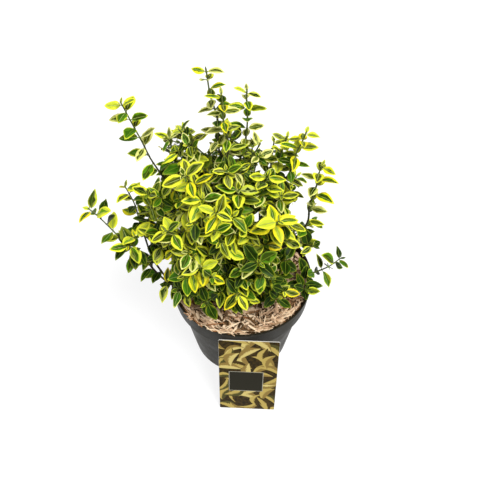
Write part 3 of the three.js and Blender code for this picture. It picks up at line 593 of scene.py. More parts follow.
# %% Chip shapes
def lay_chips(kind, random):
    """Centres, directions and sizes of all chips of a kind. They lie on the mulch at a small tilt. Neighbours
    lie nearly side by side, because their turn follows a slow field, and every fifth lies across the others.
    Near the wall they run along it."""
    count = kind["count"]
    reach = np.sqrt(random.uniform(*np.square(kind["ring"]), count))
    around = np.radians(random.uniform(*kind["around"], count))
    middle = np.stack([reach * np.cos(around), reach * np.sin(around)], axis=-1)
    long, wide, thick = (random.uniform(*kind[size], count) for size in ("long", "wide", "thick"))
    tilt = np.clip(random.normal(0, CHIP_TILT, count), -2 * CHIP_TILT, 2 * CHIP_TILT)
    tilt = tilt * np.where(reach > RIM_RADIUS - 2 * RIM_LEDGE, RIM_TILT, 1)
    lie = waves(np.pad(middle, ((0, 0), (0, 1))), BUNDLE_SIZE, BUNDLE_WAVES, BUNDLE_SEED)
    turn = 2 * lie + random.normal(0, BUNDLE_STRAY, count) + (random.random(count) < ODD_CHIPS) * math.pi / 2
    near_wall = np.hypot(*middle.T) + long / 2 > RIM_RADIUS - WALL_NEAR
    turn = np.where(near_wall, around + math.pi / 2 + random.normal(0, WALL_STRAY, count), turn)
    outward = np.abs(np.cos(turn - around)) * long / 2 + wide / 2
    on_rim = reach > RIM_RADIUS - RIM_LEDGE
    middle = middle * np.minimum(1, np.where(on_rim, reach, WALL_INSIDE - outward) / reach)[:, None]
    along = np.stack([np.cos(turn) * np.cos(tilt), np.sin(turn) * np.cos(tilt), np.sin(tilt)], axis=-1)
    side = np.stack([-np.sin(turn), np.cos(turn), random.normal(0, CHIP_ROLL, count)], axis=-1)
    side = unit(side - (side * along).sum(-1, keepdims=True) * along)
    bed = mulch_height(*middle.T)
    height = bed + random.uniform(-CHIP_SINKS, 1, count) * kind["rise"] + CHIP_LIFT
    height = np.maximum(height, bed + np.abs(np.sin(tilt)) * long / 2 - END_SINKS)
    over_rim = POT_HEIGHT + thick / 2 + kind["rise"] * random.random(count)
    height = np.where(on_rim, over_rim, height)
    centre = np.concatenate([middle, height[:, None]], axis=-1)
    return centre, (along, side, np.cross(along, side)), (long, wide, thick)


def chip_surfaces(kind, seed):
    """Points, faces and tints of all chips of a kind. A chip is a five-sided rod whose rings vary, bent a
    little as a parabola, with slanted broken ends."""
    random = np.random.default_rng(seed)
    count = kind["count"]
    centre, ways, sizes = lay_chips(kind, random)
    long, wide, thick = (size[:, None, None] for size in sizes)
    t = np.linspace(-0.5, 0.5, CHIP_RINGS)[:, None]
    angle = np.arange(CHIP_SIDES) * 2 * math.pi / CHIP_SIDES
    slim = np.array(CHIP_SLIM) * random.uniform(*RING_VARIES, (count, CHIP_RINGS))
    jag = random.uniform(*EDGE_VARIES, (count, CHIP_RINGS, CHIP_SIDES)) * slim[..., None]
    forward = t * long + random.normal(0, END_VARIES, jag.shape) * long
    across = np.cos(angle) * jag * wide / 2
    bend = random.normal(0, CHIP_BEND, count)[:, None, None] * long * (4 * t ** 2)
    raised = np.sin(angle) * jag * thick / 2 + bend
    points = centre[:, None, None] + sum(
        share[..., None] * way[:, None, None] for share, way in zip((forward, across, raised), ways))
    per_chip = CHIP_RINGS * CHIP_SIDES
    rods = grid_faces(CHIP_RINGS, CHIP_SIDES, closed=True)
    ends = np.array([[0, 2, 1], [0, 3, 2], [0, 4, 3]])
    ends = np.concatenate([ends, ends[:, ::-1] + per_chip - CHIP_SIDES])
    first = (np.arange(count) * per_chip)[:, None, None]
    looks = random.choice(len(CHIP_TINTS), count, p=np.array(CHIP_SHARES) / sum(CHIP_SHARES))
    faces = [(rods + first).reshape(-1, 4), (ends + first).reshape(-1, 3)]
    face_looks = np.concatenate([np.repeat(looks, len(rods)), np.repeat(looks, len(ends))])
    return points.reshape(-1, 3), faces, face_looks


chip_looks = [plain_look(name, colour, CHIP_ROUGH, CHIP_GLOSS) for name, colour in CHIP_TINTS.items()]
for number, (name, kind) in enumerate(CHIP_KINDS.items()):
    chip_points, chip_faces, chip_kinds = chip_surfaces(kind, CHIP_SEED + number)
    chips = make_piece(f"mulch_{name}", chip_points, chip_faces, chip_looks, chip_kinds, smooth=False)
    finish_piece(chips, "bark_mulch")

# %% [markdown]
# ## The picture card
# A laminated card leans on the pot. Its print is a generic one: overlapping two-tone crescents in dull
# yellow, ochre and olive on brown, with an empty dark panel in a thin pale frame. Each crescent is one
# small node group on the card's own UV map, which is laid out in millimetres.

# %% Card sizes and print
CARD_WIDTH, CARD_HEIGHT, CARD_THICKNESS, CARD_CORNER = 77, 142, 1, 2
CARD_LEAN, CARD_TURN = math.radians(13.14), math.radians(-2.5)
CARD_FOOT = np.array([8, -127, 0])
CARD_EDGE_ROWS, CARD_BEVEL = 8, 0.25
CARD_CORE, CARD_CORE_ROUGH = (0.72, 0.70, 0.64), 0.6
PRINT_GLOSS, PRINT_ROUGH, PRINT_SCUFFS = 0.06, 0.28, 0.18
PRINT_BROWN, PRINT_DARK = (0.060, 0.036, 0.006, 1), (0.018, 0.012, 0.003, 1)
PRINT_YELLOW, PRINT_CREAM = (0.56, 0.42, 0.11, 1), (0.72, 0.58, 0.20, 1)
PRINT_OCHRE, PRINT_OLIVE = (0.30, 0.20, 0.05, 1), (0.085, 0.075, 0.018, 1)
PRINT_PAIRS = ((PRINT_YELLOW, PRINT_OLIVE), (PRINT_CREAM, PRINT_OCHRE), (PRINT_YELLOW, PRINT_BROWN),
               (PRINT_OCHRE, PRINT_CREAM), (PRINT_YELLOW, PRINT_OCHRE))
PANEL_LOW, PANEL_HIGH, PANEL_LINE = (13, 41), (59, 82), 0.9
PANEL_GREY, PANEL_FRAME = (0.020, 0.018, 0.010, 1), (0.42, 0.40, 0.32, 1)
CRESCENT_ROWS, CRESCENT_COLUMNS, CRESCENT_SEED, CRESCENT_STRAY = 9, 5, 14, 0.2
CRESCENT_REACH, CRESCENT_WIDTH, CRESCENT_BEND = (12, 20), (4.5, 7.5), (5, 9)


# %% Card print
def crescent_group():
    """One printed crescent in two colours, split along its middle line. The line bends as a parabola, and
    the half width falls from the middle to both ends as (1 - t squared), t running from -1 to 1."""
    group, start, end = new_group(
        "crescent",
        [("Place", "Vector", None), ("Under", "Color", None), ("One", "Color", None),
         ("Other", "Color", None), ("Middle", "Vector", None), ("Turn", "Float", 0.0),
         ("Reach", "Float", 10.0), ("Width", "Float", 3.0), ("Bend", "Float", 0.0)],
        [("Colour", "Color")],
    )
    tree, given = Tree(group), start.outputs
    moved = tree.node("ShaderNodeVectorMath", {"operation": "SUBTRACT"},
                      i0=given["Place"], i1=given["Middle"])
    turned_place = tree.node("ShaderNodeVectorRotate", {"rotation_type": "Z_AXIS"},
                             Vector=moved.outputs[0], Angle=given["Turn"])
    apart = tree.node("ShaderNodeSeparateXYZ", Vector=turned_place.outputs[0]).outputs
    t = tree.maths("DIVIDE", apart["X"], given["Reach"])
    body = tree.maths("MAXIMUM", tree.maths("SUBTRACT", 1.0, tree.maths("MULTIPLY", t, t)), 0.0)
    off = tree.maths("SUBTRACT", apart["Y"], tree.maths("MULTIPLY", body, given["Bend"]))
    half = tree.maths("MAXIMUM", tree.maths("MULTIPLY", body, given["Width"]), 0.001)
    across = tree.maths("DIVIDE", off, half)
    grain = tree.node("ShaderNodeTexNoise", Vector=given["Place"], Scale=0.5, Detail=4.0).outputs["Fac"]
    ragged = tree.maths("ADD", across, tree.maths("SUBTRACT", grain, 0.5))
    both = tree.mix(tree.ramp(ragged, -0.12, 0.2), given["One"], given["Other"])
    outside = tree.ramp(tree.maths("ABSOLUTE", across), 0.93, 1.05)
    tree.feed(end.inputs["Colour"], tree.mix(outside, both, given["Under"]))
    return group


def print_look():
    """The card's printed face: brown ground, rows of crescents at random turns, then the empty panel."""
    look = bpy.data.materials.new("card_print")
    look.use_nodes = True
    tree, shader = Tree(look.node_tree), look.node_tree.nodes["Principled BSDF"]
    place = tree.node("ShaderNodeUVMap", {"uv_map": "print"}).outputs["UV"]
    ground = place_group(tree, BLOTCHES, Place=place, One=PRINT_BROWN, Other=PRINT_DARK, Size=4.0)
    colour, crescent = ground.outputs["Colour"], crescent_group()
    random = np.random.default_rng(CRESCENT_SEED)
    for spot in random.permutation(CRESCENT_ROWS * CRESCENT_COLUMNS):
        row, column = divmod(int(spot), CRESCENT_COLUMNS)
        x = CARD_WIDTH * (column + 0.5 + random.normal(0, CRESCENT_STRAY)) / CRESCENT_COLUMNS
        y = CARD_HEIGHT * (row + 0.5 + random.normal(0, CRESCENT_STRAY)) / CRESCENT_ROWS
        one, other = PRINT_PAIRS[int(random.integers(len(PRINT_PAIRS)))]
        bend = float(random.uniform(*CRESCENT_BEND) * random.choice([-1, 1]))
        turn, reach, width = (float(random.uniform(*limits))
                              for limits in ((0, math.pi), CRESCENT_REACH, CRESCENT_WIDTH))
        node = place_group(tree, crescent, Place=place, Under=colour, One=one, Other=other, Middle=(x, y, 0),
                           Turn=turn, Reach=reach, Width=width, Bend=bend)
        colour = node.outputs["Colour"]
    apart = tree.node("ShaderNodeSeparateXYZ", Vector=place).outputs
    masks = []
    for inset in (0, PANEL_LINE):
        mask = 1.0
        for axis in (0, 1):
            after = tree.maths("GREATER_THAN", apart[axis], PANEL_LOW[axis] + inset)
            before = tree.maths("LESS_THAN", apart[axis], PANEL_HIGH[axis] - inset)
            mask = tree.maths("MULTIPLY", mask, tree.maths("MULTIPLY", after, before))
        masks.append(mask)
    colour = tree.mix(masks[1], tree.mix(masks[0], colour, PANEL_FRAME), PANEL_GREY)
    tree.feed(shader.inputs["Base Color"], colour)
    scuffs = tree.node("ShaderNodeTexNoise", Vector=place, Scale=0.25, Detail=6.0).outputs["Fac"]
    scuffed = tree.maths("MULTIPLY", scuffs, PRINT_SCUFFS)
    tree.feed(shader.inputs["Roughness"], tree.maths("ADD", PRINT_ROUGH, scuffed))
    shader.inputs["Specular IOR Level"].default_value = PRINT_GLOSS
    return look


# %% Card mesh
def card_ring(inset):
    """The card's outline, pulled in by inset, in card millimetres: a quarter circle at each corner."""
    steps, radius = np.linspace(0, math.pi / 2, CARD_EDGE_ROWS), CARD_CORNER - inset
    right, top = CARD_WIDTH - CARD_CORNER, CARD_HEIGHT - CARD_CORNER
    arcs = []
    for x, y, quarter in (
            (right, CARD_CORNER, -1), (right, top, 0), (CARD_CORNER, top, 1), (CARD_CORNER, CARD_CORNER, 2)):
        angle = steps + quarter * math.pi / 2
        arcs.append(np.stack([x + radius * np.cos(angle), y + radius * np.sin(angle)], axis=-1))
    return np.concatenate(arcs)


def card_points(flat, lift):
    """Places on the leaning card for flat card millimetres, lift above its back face."""
    side = np.array([math.cos(CARD_TURN), math.sin(CARD_TURN), 0])
    back = np.array([-math.sin(CARD_TURN), math.cos(CARD_TURN), 0])
    up = math.cos(CARD_LEAN) * np.array([0, 0, 1]) + math.sin(CARD_LEAN) * back
    front = np.cross(side, up)
    return (CARD_FOOT + (flat[:, :1] - CARD_WIDTH / 2) * side + flat[:, 1:] * up
            + np.broadcast_to(lift, len(flat))[:, None] * front)


def picture_card():
    """A back ring, two edge rings that round the edge, and a front ring, closed by two flat faces."""
    rings = [(CARD_BEVEL, 0), (0, CARD_BEVEL), (0, CARD_THICKNESS - CARD_BEVEL), (CARD_BEVEL, CARD_THICKNESS)]
    flats = [card_ring(inset) for inset, _ in rings]
    size = len(flats[0])
    flat = np.concatenate([*flats, [[CARD_WIDTH / 2, CARD_HEIGHT / 2]] * 2])
    lift = np.concatenate([np.repeat([lift for _, lift in rings], size), [0, CARD_THICKNESS]])
    sides = grid_faces(len(rings), size, closed=True)
    back = fan_faces(np.arange(size), len(flat) - 2, flip=True)
    front = fan_faces(np.arange(size) + (len(rings) - 1) * size, len(flat) - 1)
    looks = [plain_look("card_core", CARD_CORE, CARD_CORE_ROUGH), print_look()]
    kinds = np.concatenate([np.zeros(len(sides) + len(back)), np.ones(len(front))])
    card = make_piece("card", card_points(flat, lift), [sides, back, front], looks, kinds, smooth=False)
    layer = card.data.uv_layers.new(name="print")
    corners = np.zeros(len(card.data.loops), np.int32)
    card.data.loops.foreach_get("vertex_index", corners)
    layer.data.foreach_set("uv", flat[corners].astype(np.float32).ravel())
    return card


finish_piece(picture_card(), "printed_card", "picture_card")

# %% [markdown]
# ## The growth rule
# Each shoot is one smooth curve from the stool, or from its bough's tip, to the place where its tip stands.
# Leaves sit in opposite pairs, every pair a quarter turn from the last, closer together near the tip, and
# side twigs spring from the axils lower down. The places are those of the solids, but for the tip of
# low_right, which stands a few millimetres further in. The pairs stand closer here than there, the twigs
# carry twigs of their own, and the leaves have their true size.

# %% Shoots
# A limb: its bough, the angle above level at which it leaves the stool, the bough's tip where that is set,
# and its shoots. A shoot: azimuth from +X, reach from the pot's axis, height above the rim, rise of its tip,
# leaf length, and how golden it is: 0 is green, 1 golden in the sun, and more is golden in the shade too
CROWN = [
    ("bough_crown_back", 80, None, [
        ("spire_back", 163, 34, 292, 82, 16, 0.3), ("spire_front", 208, 21, 279, 84, 17, 0.4)]),
    ("bough_crown_right", 70, None, [
        ("spire_right", 77, 21, 265, 85, 17, 0.55), ("crown_heart", 30, 22, 196, 76, 20, 0.35)]),
    ("bough_left", 46, None, [
        ("left_spire", 177, 114, 261, 73, 20, 0.5), ("left_low", 174, 112, 104, 55, 21, 0.8)]),
    ("bough_far_left", 12, (198, 96, 20), [
        ("far_left", 187, 169, 148, 62, 25, 1.3), ("left_wing", 178, 130, 158, 74, 22, 1.2)]),
    ("bough_back_left", 56, None, [
        ("left_inner", 150, 71, 214, 76, 19, 0.9), ("back_left_high", 131, 99, 118, 58, 22, 0.9)]),
    ("bough_front_left", 52, None, [
        ("left_knot", 184, 65, 214, 74, 21, 1.3), ("rosette_left", 219, 72, 216, 60, 23, 1.5)]),
    ("bough_right", 56, None, [
        ("right_spire", 4, 64, 229, 77, 19, 1.1), ("right_inner", 27, 54, 209, 74, 20, 1.2)]),
    ("bough_back_right", 44, None, [
        ("back_right_high", 56, 67, 180, 72, 20, 0.7), ("back_right", 44, 99, 118, 58, 22, 0.7)]),
    ("bough_far_right", 36, (354, 65, 76), [
        ("far_right", 346, 82, 208, 80, 20, 1.2), ("right_side", 341, 91, 95, 48, 22, 0.3)]),
    ("bough_low_right", 8, (350, 80, 10), [
        ("low_right", 356, 129, 47, 50, 24, 0.2), ("rim_right", 330, 96, 30, 24, 22, 0.5)]),
    ("bough_front", 62, None, [
        ("front_high", 265, 40, 193, 66, 23, 1.3), ("front_rosette", 249, 75, 190, 50, 24, 1.5)]),
    ("bough_front_right", 50, None, [
        ("front_right_high", 317, 37, 199, 70, 22, 1.2), ("front_right", 300, 75, 173, 54, 24, 1.1)]),
    ("bough_front_low_left", 30, None, [
        ("front_left", 217, 100, 154, 48, 24, 1.3), ("front_left_low", 229, 99, 96, 38, 24, 0.3)]),
    ("bough_back", 34, None, [
        ("back_mid", 91, 80, 130, 60, 22, 0.4), ("back_low", 102, 106, 60, 38, 22, 0.2)]),
    ("bough_side_left", 12, None, [
        ("back_left_side", 156, 122, 111, 52, 22, 0.9), ("back_left_low", 138, 110, 46, 30, 22, 0.2)]),
    (None, 24, None, [("back_right_side", 20, 100, 72, 42, 22, 0.3)]),
    (None, 10, None, [("back_right_low", 60, 112, 48, 32, 22, 0.2)]),
    (None, 32, None, [("left_middle", 196, 84, 86, 46, 23, 0.5)]),
    (None, 30, None, [("right_middle", 322, 70, 84, 44, 23, 0.1)]),
    (None, 12, None, [("side_left", 207, 108, 44, 30, 23, 0.3)]),
    (None, 8, None, [("skirt_left", 222, 104, 60, 28, 23, 0.1)]),
    (None, 14, None, [("skirt_front_left", 242, 92, 48, 24, 23, 0.2)]),
    (None, 10, None, [("skirt_front", 267, 84, 68, 30, 23, 3.6)]),
    (None, 14, None, [("skirt_front_right", 302, 94, 72, 32, 23, 3.6)]),
    (None, 40, None, [("front_mid", 284, 80, 122, 44, 24, 0.0)]),
]
CROWN_SEED, SEED_STEP = 2026, 97
STOOL_HEAD, STOOL_HEAD_HEIGHT, STOOL_FLARE, STOOL_LEAN = 16, 171, 19, 2
FOOT_SPREAD, FOOT_LOWEST, SPREAD_ROUNDS = math.radians(23), math.sin(math.radians(6)), 60
BOUGH_SHARE, BOUGH_DEPTH, FORK_OFFSET, FOOT_PULL, SWEEP_PULL, TIP_LEAF = 0.38, 2, 1.35, 0.35, 0.36, 0.22
CURVE_STEPS = 60
SWAY_SIZE, SWAY_LENGTH, SWAY_TURN, SWAY_SECOND = 1.7, 62, 2.4, 0.8


# %% Places and curves
def seeded(seed):
    """Numbers from 0 to 1 that come out the same for the same seed, as in the solids' rule."""
    state, whole = seed, 0xFFFFFFFF

    def draw():
        nonlocal state
        state = (state + 0x6D2B79F5) & whole
        mixed = ((state ^ (state >> 15)) * (state | 1)) & whole
        mixed ^= (mixed + (((mixed ^ (mixed >> 7)) * (mixed | 61)) & whole)) & whole
        return (mixed ^ (mixed >> 14)) / (whole + 1)

    return draw


def from_rim(azimuth, reach, height):
    """A place at an azimuth from +X, at a reach from the axis and a height above the rim."""
    angle = math.radians(azimuth)
    return np.array([reach * math.cos(angle), reach * math.sin(angle), POT_HEIGHT + height])


def direction(azimuth, above):
    """Unit direction at an azimuth and an angle above level, in degrees."""
    turn, rise = math.radians(azimuth), math.radians(above)
    return np.array([math.cos(rise) * math.cos(turn), math.cos(rise) * math.sin(turn), math.sin(rise)])


class Stem:
    """A curve that leaves its start along one direction and comes to its end along another: a cubic whose
    inner points lie SWEEP_PULL of the distance along those directions."""

    def __init__(self, start, start_way, end, end_way):
        pull = np.linalg.norm(end - start) * SWEEP_PULL
        t = np.linspace(0, 1, CURVE_STEPS + 1)[:, None]
        hold, aim = start + start_way * pull, end - end_way * pull
        self.points = ((1 - t) ** 3 * start + 3 * t * (1 - t) ** 2 * hold
                       + 3 * t * t * (1 - t) * aim + t ** 3 * end)
        self.measure()

    def measure(self):
        """Length along the curve, and unit directions at its points."""
        steps = np.linalg.norm(np.diff(self.points, axis=0), axis=1)
        self.run = np.concatenate([[0], np.cumsum(steps)])
        self.length = self.run[-1]
        self.ways = unit(np.gradient(self.points, self.run, axis=0))

    def sway(self, size, phase):
        """Bends the stem from side to side by two sine waves, square to each other and to the stem, that fade
        out at both ends."""
        across = unit(np.cross(self.ways, [0.3, 1, 0.2]))
        wave = (2 * math.pi * self.run / SWAY_LENGTH + phase)[:, None]
        fade = size * np.sin(math.pi * self.run / self.length)[:, None]
        upward = np.cross(self.ways, across)
        self.points = self.points + fade * (np.sin(wave) * across + np.cos(SWAY_SECOND * wave) * upward)
        self.measure()

    def at(self, share):
        """Point and direction at shares of the curve's length."""
        run = np.asarray(share) * self.length
        point = np.stack([np.interp(run, self.run, axis) for axis in self.points.T], axis=-1)
        way = np.stack([np.interp(run, self.run, axis) for axis in self.ways.T], axis=-1)
        return point, unit(way)


# %% Place the limbs
def spread_feet(centres, leans):
    """Directions of the limbs' feet on the stool's head, pushed apart until no two would touch."""
    azimuths = [math.degrees(math.atan2(centre[1], centre[0])) for centre in centres]
    feet = [direction(azimuth, lean) for azimuth, lean in zip(azimuths, leans)]
    for _ in range(SPREAD_ROUNDS):
        for i in range(len(feet)):
            for j in range(i):
                short = FOOT_SPREAD - math.acos(np.clip(feet[i] @ feet[j], -1, 1))
                if short > 0:
                    push = unit(feet[i] - feet[j]) * short / 2
                    feet[i], feet[j] = unit(feet[i] + push), unit(feet[j] - push)
            feet[i] = unit([feet[i][0], feet[i][1], max(feet[i][2], FOOT_LOWEST)])
    return feet


def place_limbs():
    """Boughs as curves, by name, and every shoot with its curve, its height, its leaf length and its gold."""
    centres = [np.mean([from_rim(*plan[1:4]) for plan in plans], axis=0) for *_, plans in CROWN]
    feet = spread_feet(centres, [lean for _, lean, _, _ in CROWN])
    boughs, shoots = {}, []
    for (bough, _, set_tip, plans), centre, out in zip(CROWN, centres, feet):
        start = np.array([0, 0, STOOL_HEAD_HEIGHT]) + out * (STOOL_HEAD + GAP)
        start_way = out
        if bough:
            tip = from_rim(*set_tip) if set_tip else start + (centre - start) * BOUGH_SHARE
            tip_way = unit(unit(centre - tip) + out * FOOT_PULL)
            boughs[bough] = Stem(start - out * BOUGH_DEPTH, start_way, tip, tip_way)
            start, start_way = tip + tip_way * GAP, tip_way
        for fork, (name, azimuth, reach, height, rise, leaf, gold) in enumerate(plans):
            origin, tip = start, from_rim(azimuth, reach, height)
            if len(plans) > 1:
                apart = tip - from_rim(*plans[1 - fork][1:4])
                origin = origin + unit(apart - (apart @ start_way) * start_way) * FORK_OFFSET
            end_way = direction(azimuth, rise)
            stem = Stem(origin, start_way, tip - end_way * leaf * TIP_LEAF, end_way)
            stem.sway(SWAY_SIZE, SWAY_TURN * len(shoots))
            shoots.append({"name": name, "stem": stem, "level": direction(azimuth + 90, 0),
                           "height": height, "leaf": leaf, "gold": gold})
    return boughs, shoots


boughs, shoots = place_limbs()
print(len(boughs), "boughs", len(shoots), "shoots")

# %% [markdown]
# ## Pairs, twigs and finer twigs
# A pair's two leaves stand off the stem at an angle that opens from the tip downwards, and turn their faces
# to the light. A twig takes the place of one leaf of a pair. A leaf with a spot of its blade too near a stem
# or a spot of another leaf is tried again at other angles, and left out if none is free, as crowded leaves
# are shed. The spots are a few millimetres apart, so some blades still cross between them. Where the
# photograph shows the ground through the crown, straight clear lines are kept free of twigs and leaves.

# %% Rule sizes
# Pairs: the bud's distance from the tip, the gap after it, the gaps near the tip and in full, the pairs it
# takes to get there, and the bare share at the stem's foot
BUD_NODE, FIRST_NODE, GAP_TIP, GAP_FULL, NODES_TO_FULL, BARE_SHARE = 0.3, 1.8, 6.5, 12, 5, 0.08
# How leaves stand off the stem, turn about it, face the light and vary
SPREAD_TIP, SPREAD_FULL, SPREAD_VARIES, YOUNG_NODES = math.radians(40), math.radians(84), 0.4, 3
TURN_VARIES, TO_LIGHT, LEAF_LIFT, FACE_VARIES = 0.3, 1.2, 0.08, 0.6
LEVEL_STEM, LEVEL_TURN, LIGHT_WAY = 0.62, 0.9, np.array([0, -0.4, 1])
# Leaf length: the bud's share, how much it varies, how late a young leaf grows, and what a shoot's own
# length makes of it here
BUD_LEAF, SIZE_VARIES, OPENING = 0.38, 0.34, 5
LEAF_FROM, LEAF_GROWS, LEAF_LIFE = 16, 0.68, 1.14
# Twigs: how they leave the stem and rise, how long they are, and the leaves they bear
TWIG_SPREAD, TWIG_RISE, TWIG_SHARE, TWIG_VARIES, TWIG_LEAF = math.radians(48), 0.6, 0.5, 0.4, 0.95
TWIG_LONGEST, TWIG_SHORTEST, FINE_TWIG_REACH, BOTH_SIDES = 62, 22, (12, 26), 0.5
# They are many near the crown's heart. Each ends within INWARD of its reach, or nearer to it than it starts
HEART, HEART_REACH = np.array([-30, -22, 230]), np.array([98, 118, 150])
HEART_FULL, FEWEST_TWIGS, INWARD = 1.5, 0.14, 1.05
# Where they start: the height of a tall shoot, how far down it and a low shoot bear their first twig, how
# long a twig is that bears finer ones, and how far down it does, as a share of a low shoot's
TALL_SHOOT, FIRST_TWIG_TALL, FIRST_TWIG_LOW, FINE_TWIG_FROM, FINE_TWIG_SHARE = 150, 38, 24, 28, 0.6


# %% Leaves and pairs
def square_to(way, level):
    """Two directions square to a stem, the first as level as it can be."""
    across = unit(level - (level @ way) * way)
    return across, np.cross(way, across)


def leaf_at(root, way, out, node, grown, random):
    """One leaf: its root, the line it lies along, its face and its length. The youngest stand up and are
    small, and three pairs down a leaf stands off squarely at its full size."""
    young = max(0, 1 - node / YOUNG_NODES)
    spread = SPREAD_FULL - (SPREAD_FULL - SPREAD_TIP) * young ** OPENING + (random() - 0.5) * SPREAD_VARIES
    along = way * math.cos(spread) + out * math.sin(spread)
    along = unit(along + [0, 0, LEAF_LIFT])
    face = way * math.sin(spread) - out * math.cos(spread)
    face = face + TO_LIGHT * LIGHT_WAY + [(random() - 0.5) * FACE_VARIES, (random() - 0.5) * FACE_VARIES, 0]
    face = unit(face - (face @ along) * along)
    length = grown * (1 - (1 - BUD_LEAF) * young ** OPENING) * (1 + (random() - 0.5) * SIZE_VARIES)
    return {"root": root, "along": along, "face": face, "length": length, "node": node, "way": way}


def pairs_along(stem, level, grown, turn, random):
    """Leaf pairs from the tip's bud down, each a quarter turn from the last. On a stem that lies nearly
    level they turn to the light, first a little to one side and then to the other."""
    pairs, back, node = [], BUD_NODE, 0
    while back < stem.length * (1 - BARE_SHARE):
        share = 1 - back / stem.length
        point, way = stem.at(share)
        across, upward = square_to(way, level)
        quarter = turn + node * math.pi / 2 if abs(way[2]) > LEVEL_STEM else (-1) ** node * LEVEL_TURN
        angle = quarter + (random() - 0.5) * TURN_VARIES
        out = across * math.cos(angle) + upward * math.sin(angle)
        leaves = [leaf_at(point, way, out * side, node, grown, random) for side in (1, -1)]
        pairs.append({"share": share, "point": point, "way": way, "out": out, "leaves": leaves})
        gap = GAP_TIP + (GAP_FULL - GAP_TIP) * min(1, node / NODES_TO_FULL)
        back, node = back + (gap if node else FIRST_NODE), node + 1
    return pairs


# %% Twigs
def twig_from(pair, side, reach, random):
    """A twig in place of one leaf of a pair: it leaves the stem at TWIG_SPREAD and turns up."""
    way = pair["way"] * math.cos(TWIG_SPREAD) + pair["out"] * (1, -1)[side] * math.sin(TWIG_SPREAD)
    reach *= 1 + (random() - 0.5) * TWIG_VARIES
    end_way = unit(way + [0, 0, TWIG_RISE])
    end = pair["point"] + way * reach / 2 + end_way * reach / 2
    level = unit([-end_way[1], end_way[0], 0])
    return {"side": side, "pair": pair, "stem": Stem(pair["point"], way, end, end_way), "level": level}


def from_heart(point):
    """How far a point is from the crown's heart, as a share of the heart's reach."""
    return np.linalg.norm((point - HEART) / HEART_REACH)


def twigs_along(stem, first, order, leaf, reach_at, random):
    """Twigs of one stem from first down, on either side of a pair or on both. There are more of them near
    the crown's heart, and far from it only those that turn inwards."""
    twigs = []
    for pair in stem["pairs"]:
        back = (1 - pair["share"]) * stem["stem"].length
        if back < first:
            continue
        bushy = HEART_FULL - from_heart(pair["point"])
        if random() > max(bushy, FEWEST_TWIGS):
            continue
        start = 0 if random() < 0.5 else 1
        sides = (start, 1 - start) if random() < BOTH_SIDES * bushy else (start,)
        for side in sides:
            twig = twig_from(pair, side, reach_at(back), random)
            if from_heart(twig["stem"].at(1)[0]) > max(INWARD, from_heart(pair["point"])):
                continue
            pairs = pairs_along(twig["stem"], twig["level"], leaf, random() * math.pi, random)
            twigs.append({**twig, "order": order, "pairs": pairs})
    return twigs


def grow(shoot, seed):
    """All stems of one shoot, main stem first, each with its leaf pairs. A twig's length goes with how far
    down it springs, and a fine twig's is drawn."""
    random = seeded(seed)
    leaf = (LEAF_FROM + (shoot["leaf"] - LEAF_FROM) * LEAF_GROWS) * LEAF_LIFE
    tall = shoot["height"] > TALL_SHOOT
    level = np.array([1.0, 0, 0]) if tall else shoot["level"]
    pairs = pairs_along(shoot["stem"], level, leaf, math.pi / 2 + (random() - 0.5), random)
    main = {"stem": shoot["stem"], "level": level, "order": 0, "pairs": pairs}

    def twig_reach(back):
        return min(max(back * TWIG_SHARE, TWIG_SHORTEST), TWIG_LONGEST)

    def fine_reach(_):
        return FINE_TWIG_REACH[0] + np.ptp(FINE_TWIG_REACH) * random()

    first = FIRST_TWIG_TALL if tall else FIRST_TWIG_LOW
    twigs, fine = twigs_along(main, first, 1, leaf * TWIG_LEAF, twig_reach, random), []
    for twig in twigs:
        if twig["stem"].length > FINE_TWIG_FROM:
            first = FIRST_TWIG_LOW * FINE_TWIG_SHARE
            fine += twigs_along(twig, first, 2, leaf * TWIG_LEAF ** 2, fine_reach, random)
    return [main, *twigs, *fine]


# %% Room for twigs
STEM_STEP, TWIG_CLEAR, TWIG_START, FLOOR_ROOM = 2.5, 2.2, 7, 4
# Where the ground shows through the crown. Each is a clear line that runs as the photograph looks, past a
# place x, z at y = 0, and has its own radius there
SKY_GAPS = [
    (-38, 363, 6), (-123, 212, 7), (-8, 420, 4.5), (74, 266, 6), (68, 303, 5), (67, 282, 5),
    (-106, 166, 5.5), (-46, 391, 4), (71, 345, 4), (24, 364, 4), (19, 261, 4), (-137, 312, 4),
    (-172, 250, 5), (90, 186, 5), (-140, 262, 4.5), (15, 426, 3), (-37, 427, 3), (50, 383, 3.5),
    (17, 335, 3.5), (-108, 336, 4.5), (-102, 314, 4.5), (-85, 354, 4), (-133, 252, 4.5), (90, 225, 4),
]
GAP_EYE = np.array(CAMERA_PLACE) / MM
GAP_LINES = np.array([(x, 0, z) for x, z, _ in SKY_GAPS]) - GAP_EYE
GAP_WAYS = unit(GAP_LINES)
GAP_SLOPES = np.array([radius for *_, radius in SKY_GAPS]) / np.linalg.norm(GAP_LINES, axis=1)


def in_gap(dots):
    """Whether any of the points lies nearer to a gap's line than its radius, which grows along the line."""
    away = dots - GAP_EYE
    along = away @ GAP_WAYS.T
    off = np.sqrt(np.maximum((away ** 2).sum(axis=-1)[:, None] - along ** 2, 0))
    return bool((off < along * GAP_SLOPES).any())


def stem_dots(stem):
    """Points along a stem, one every STEM_STEP."""
    return stem.at(np.linspace(0, 1, max(3, int(stem.length / STEM_STEP))))[0]


def near_tree(dots):
    """A search tree over points."""
    tree = kdtree.KDTree(len(dots))
    for index, dot in enumerate(dots):
        tree.insert(dot, index)
    tree.balance()
    return tree


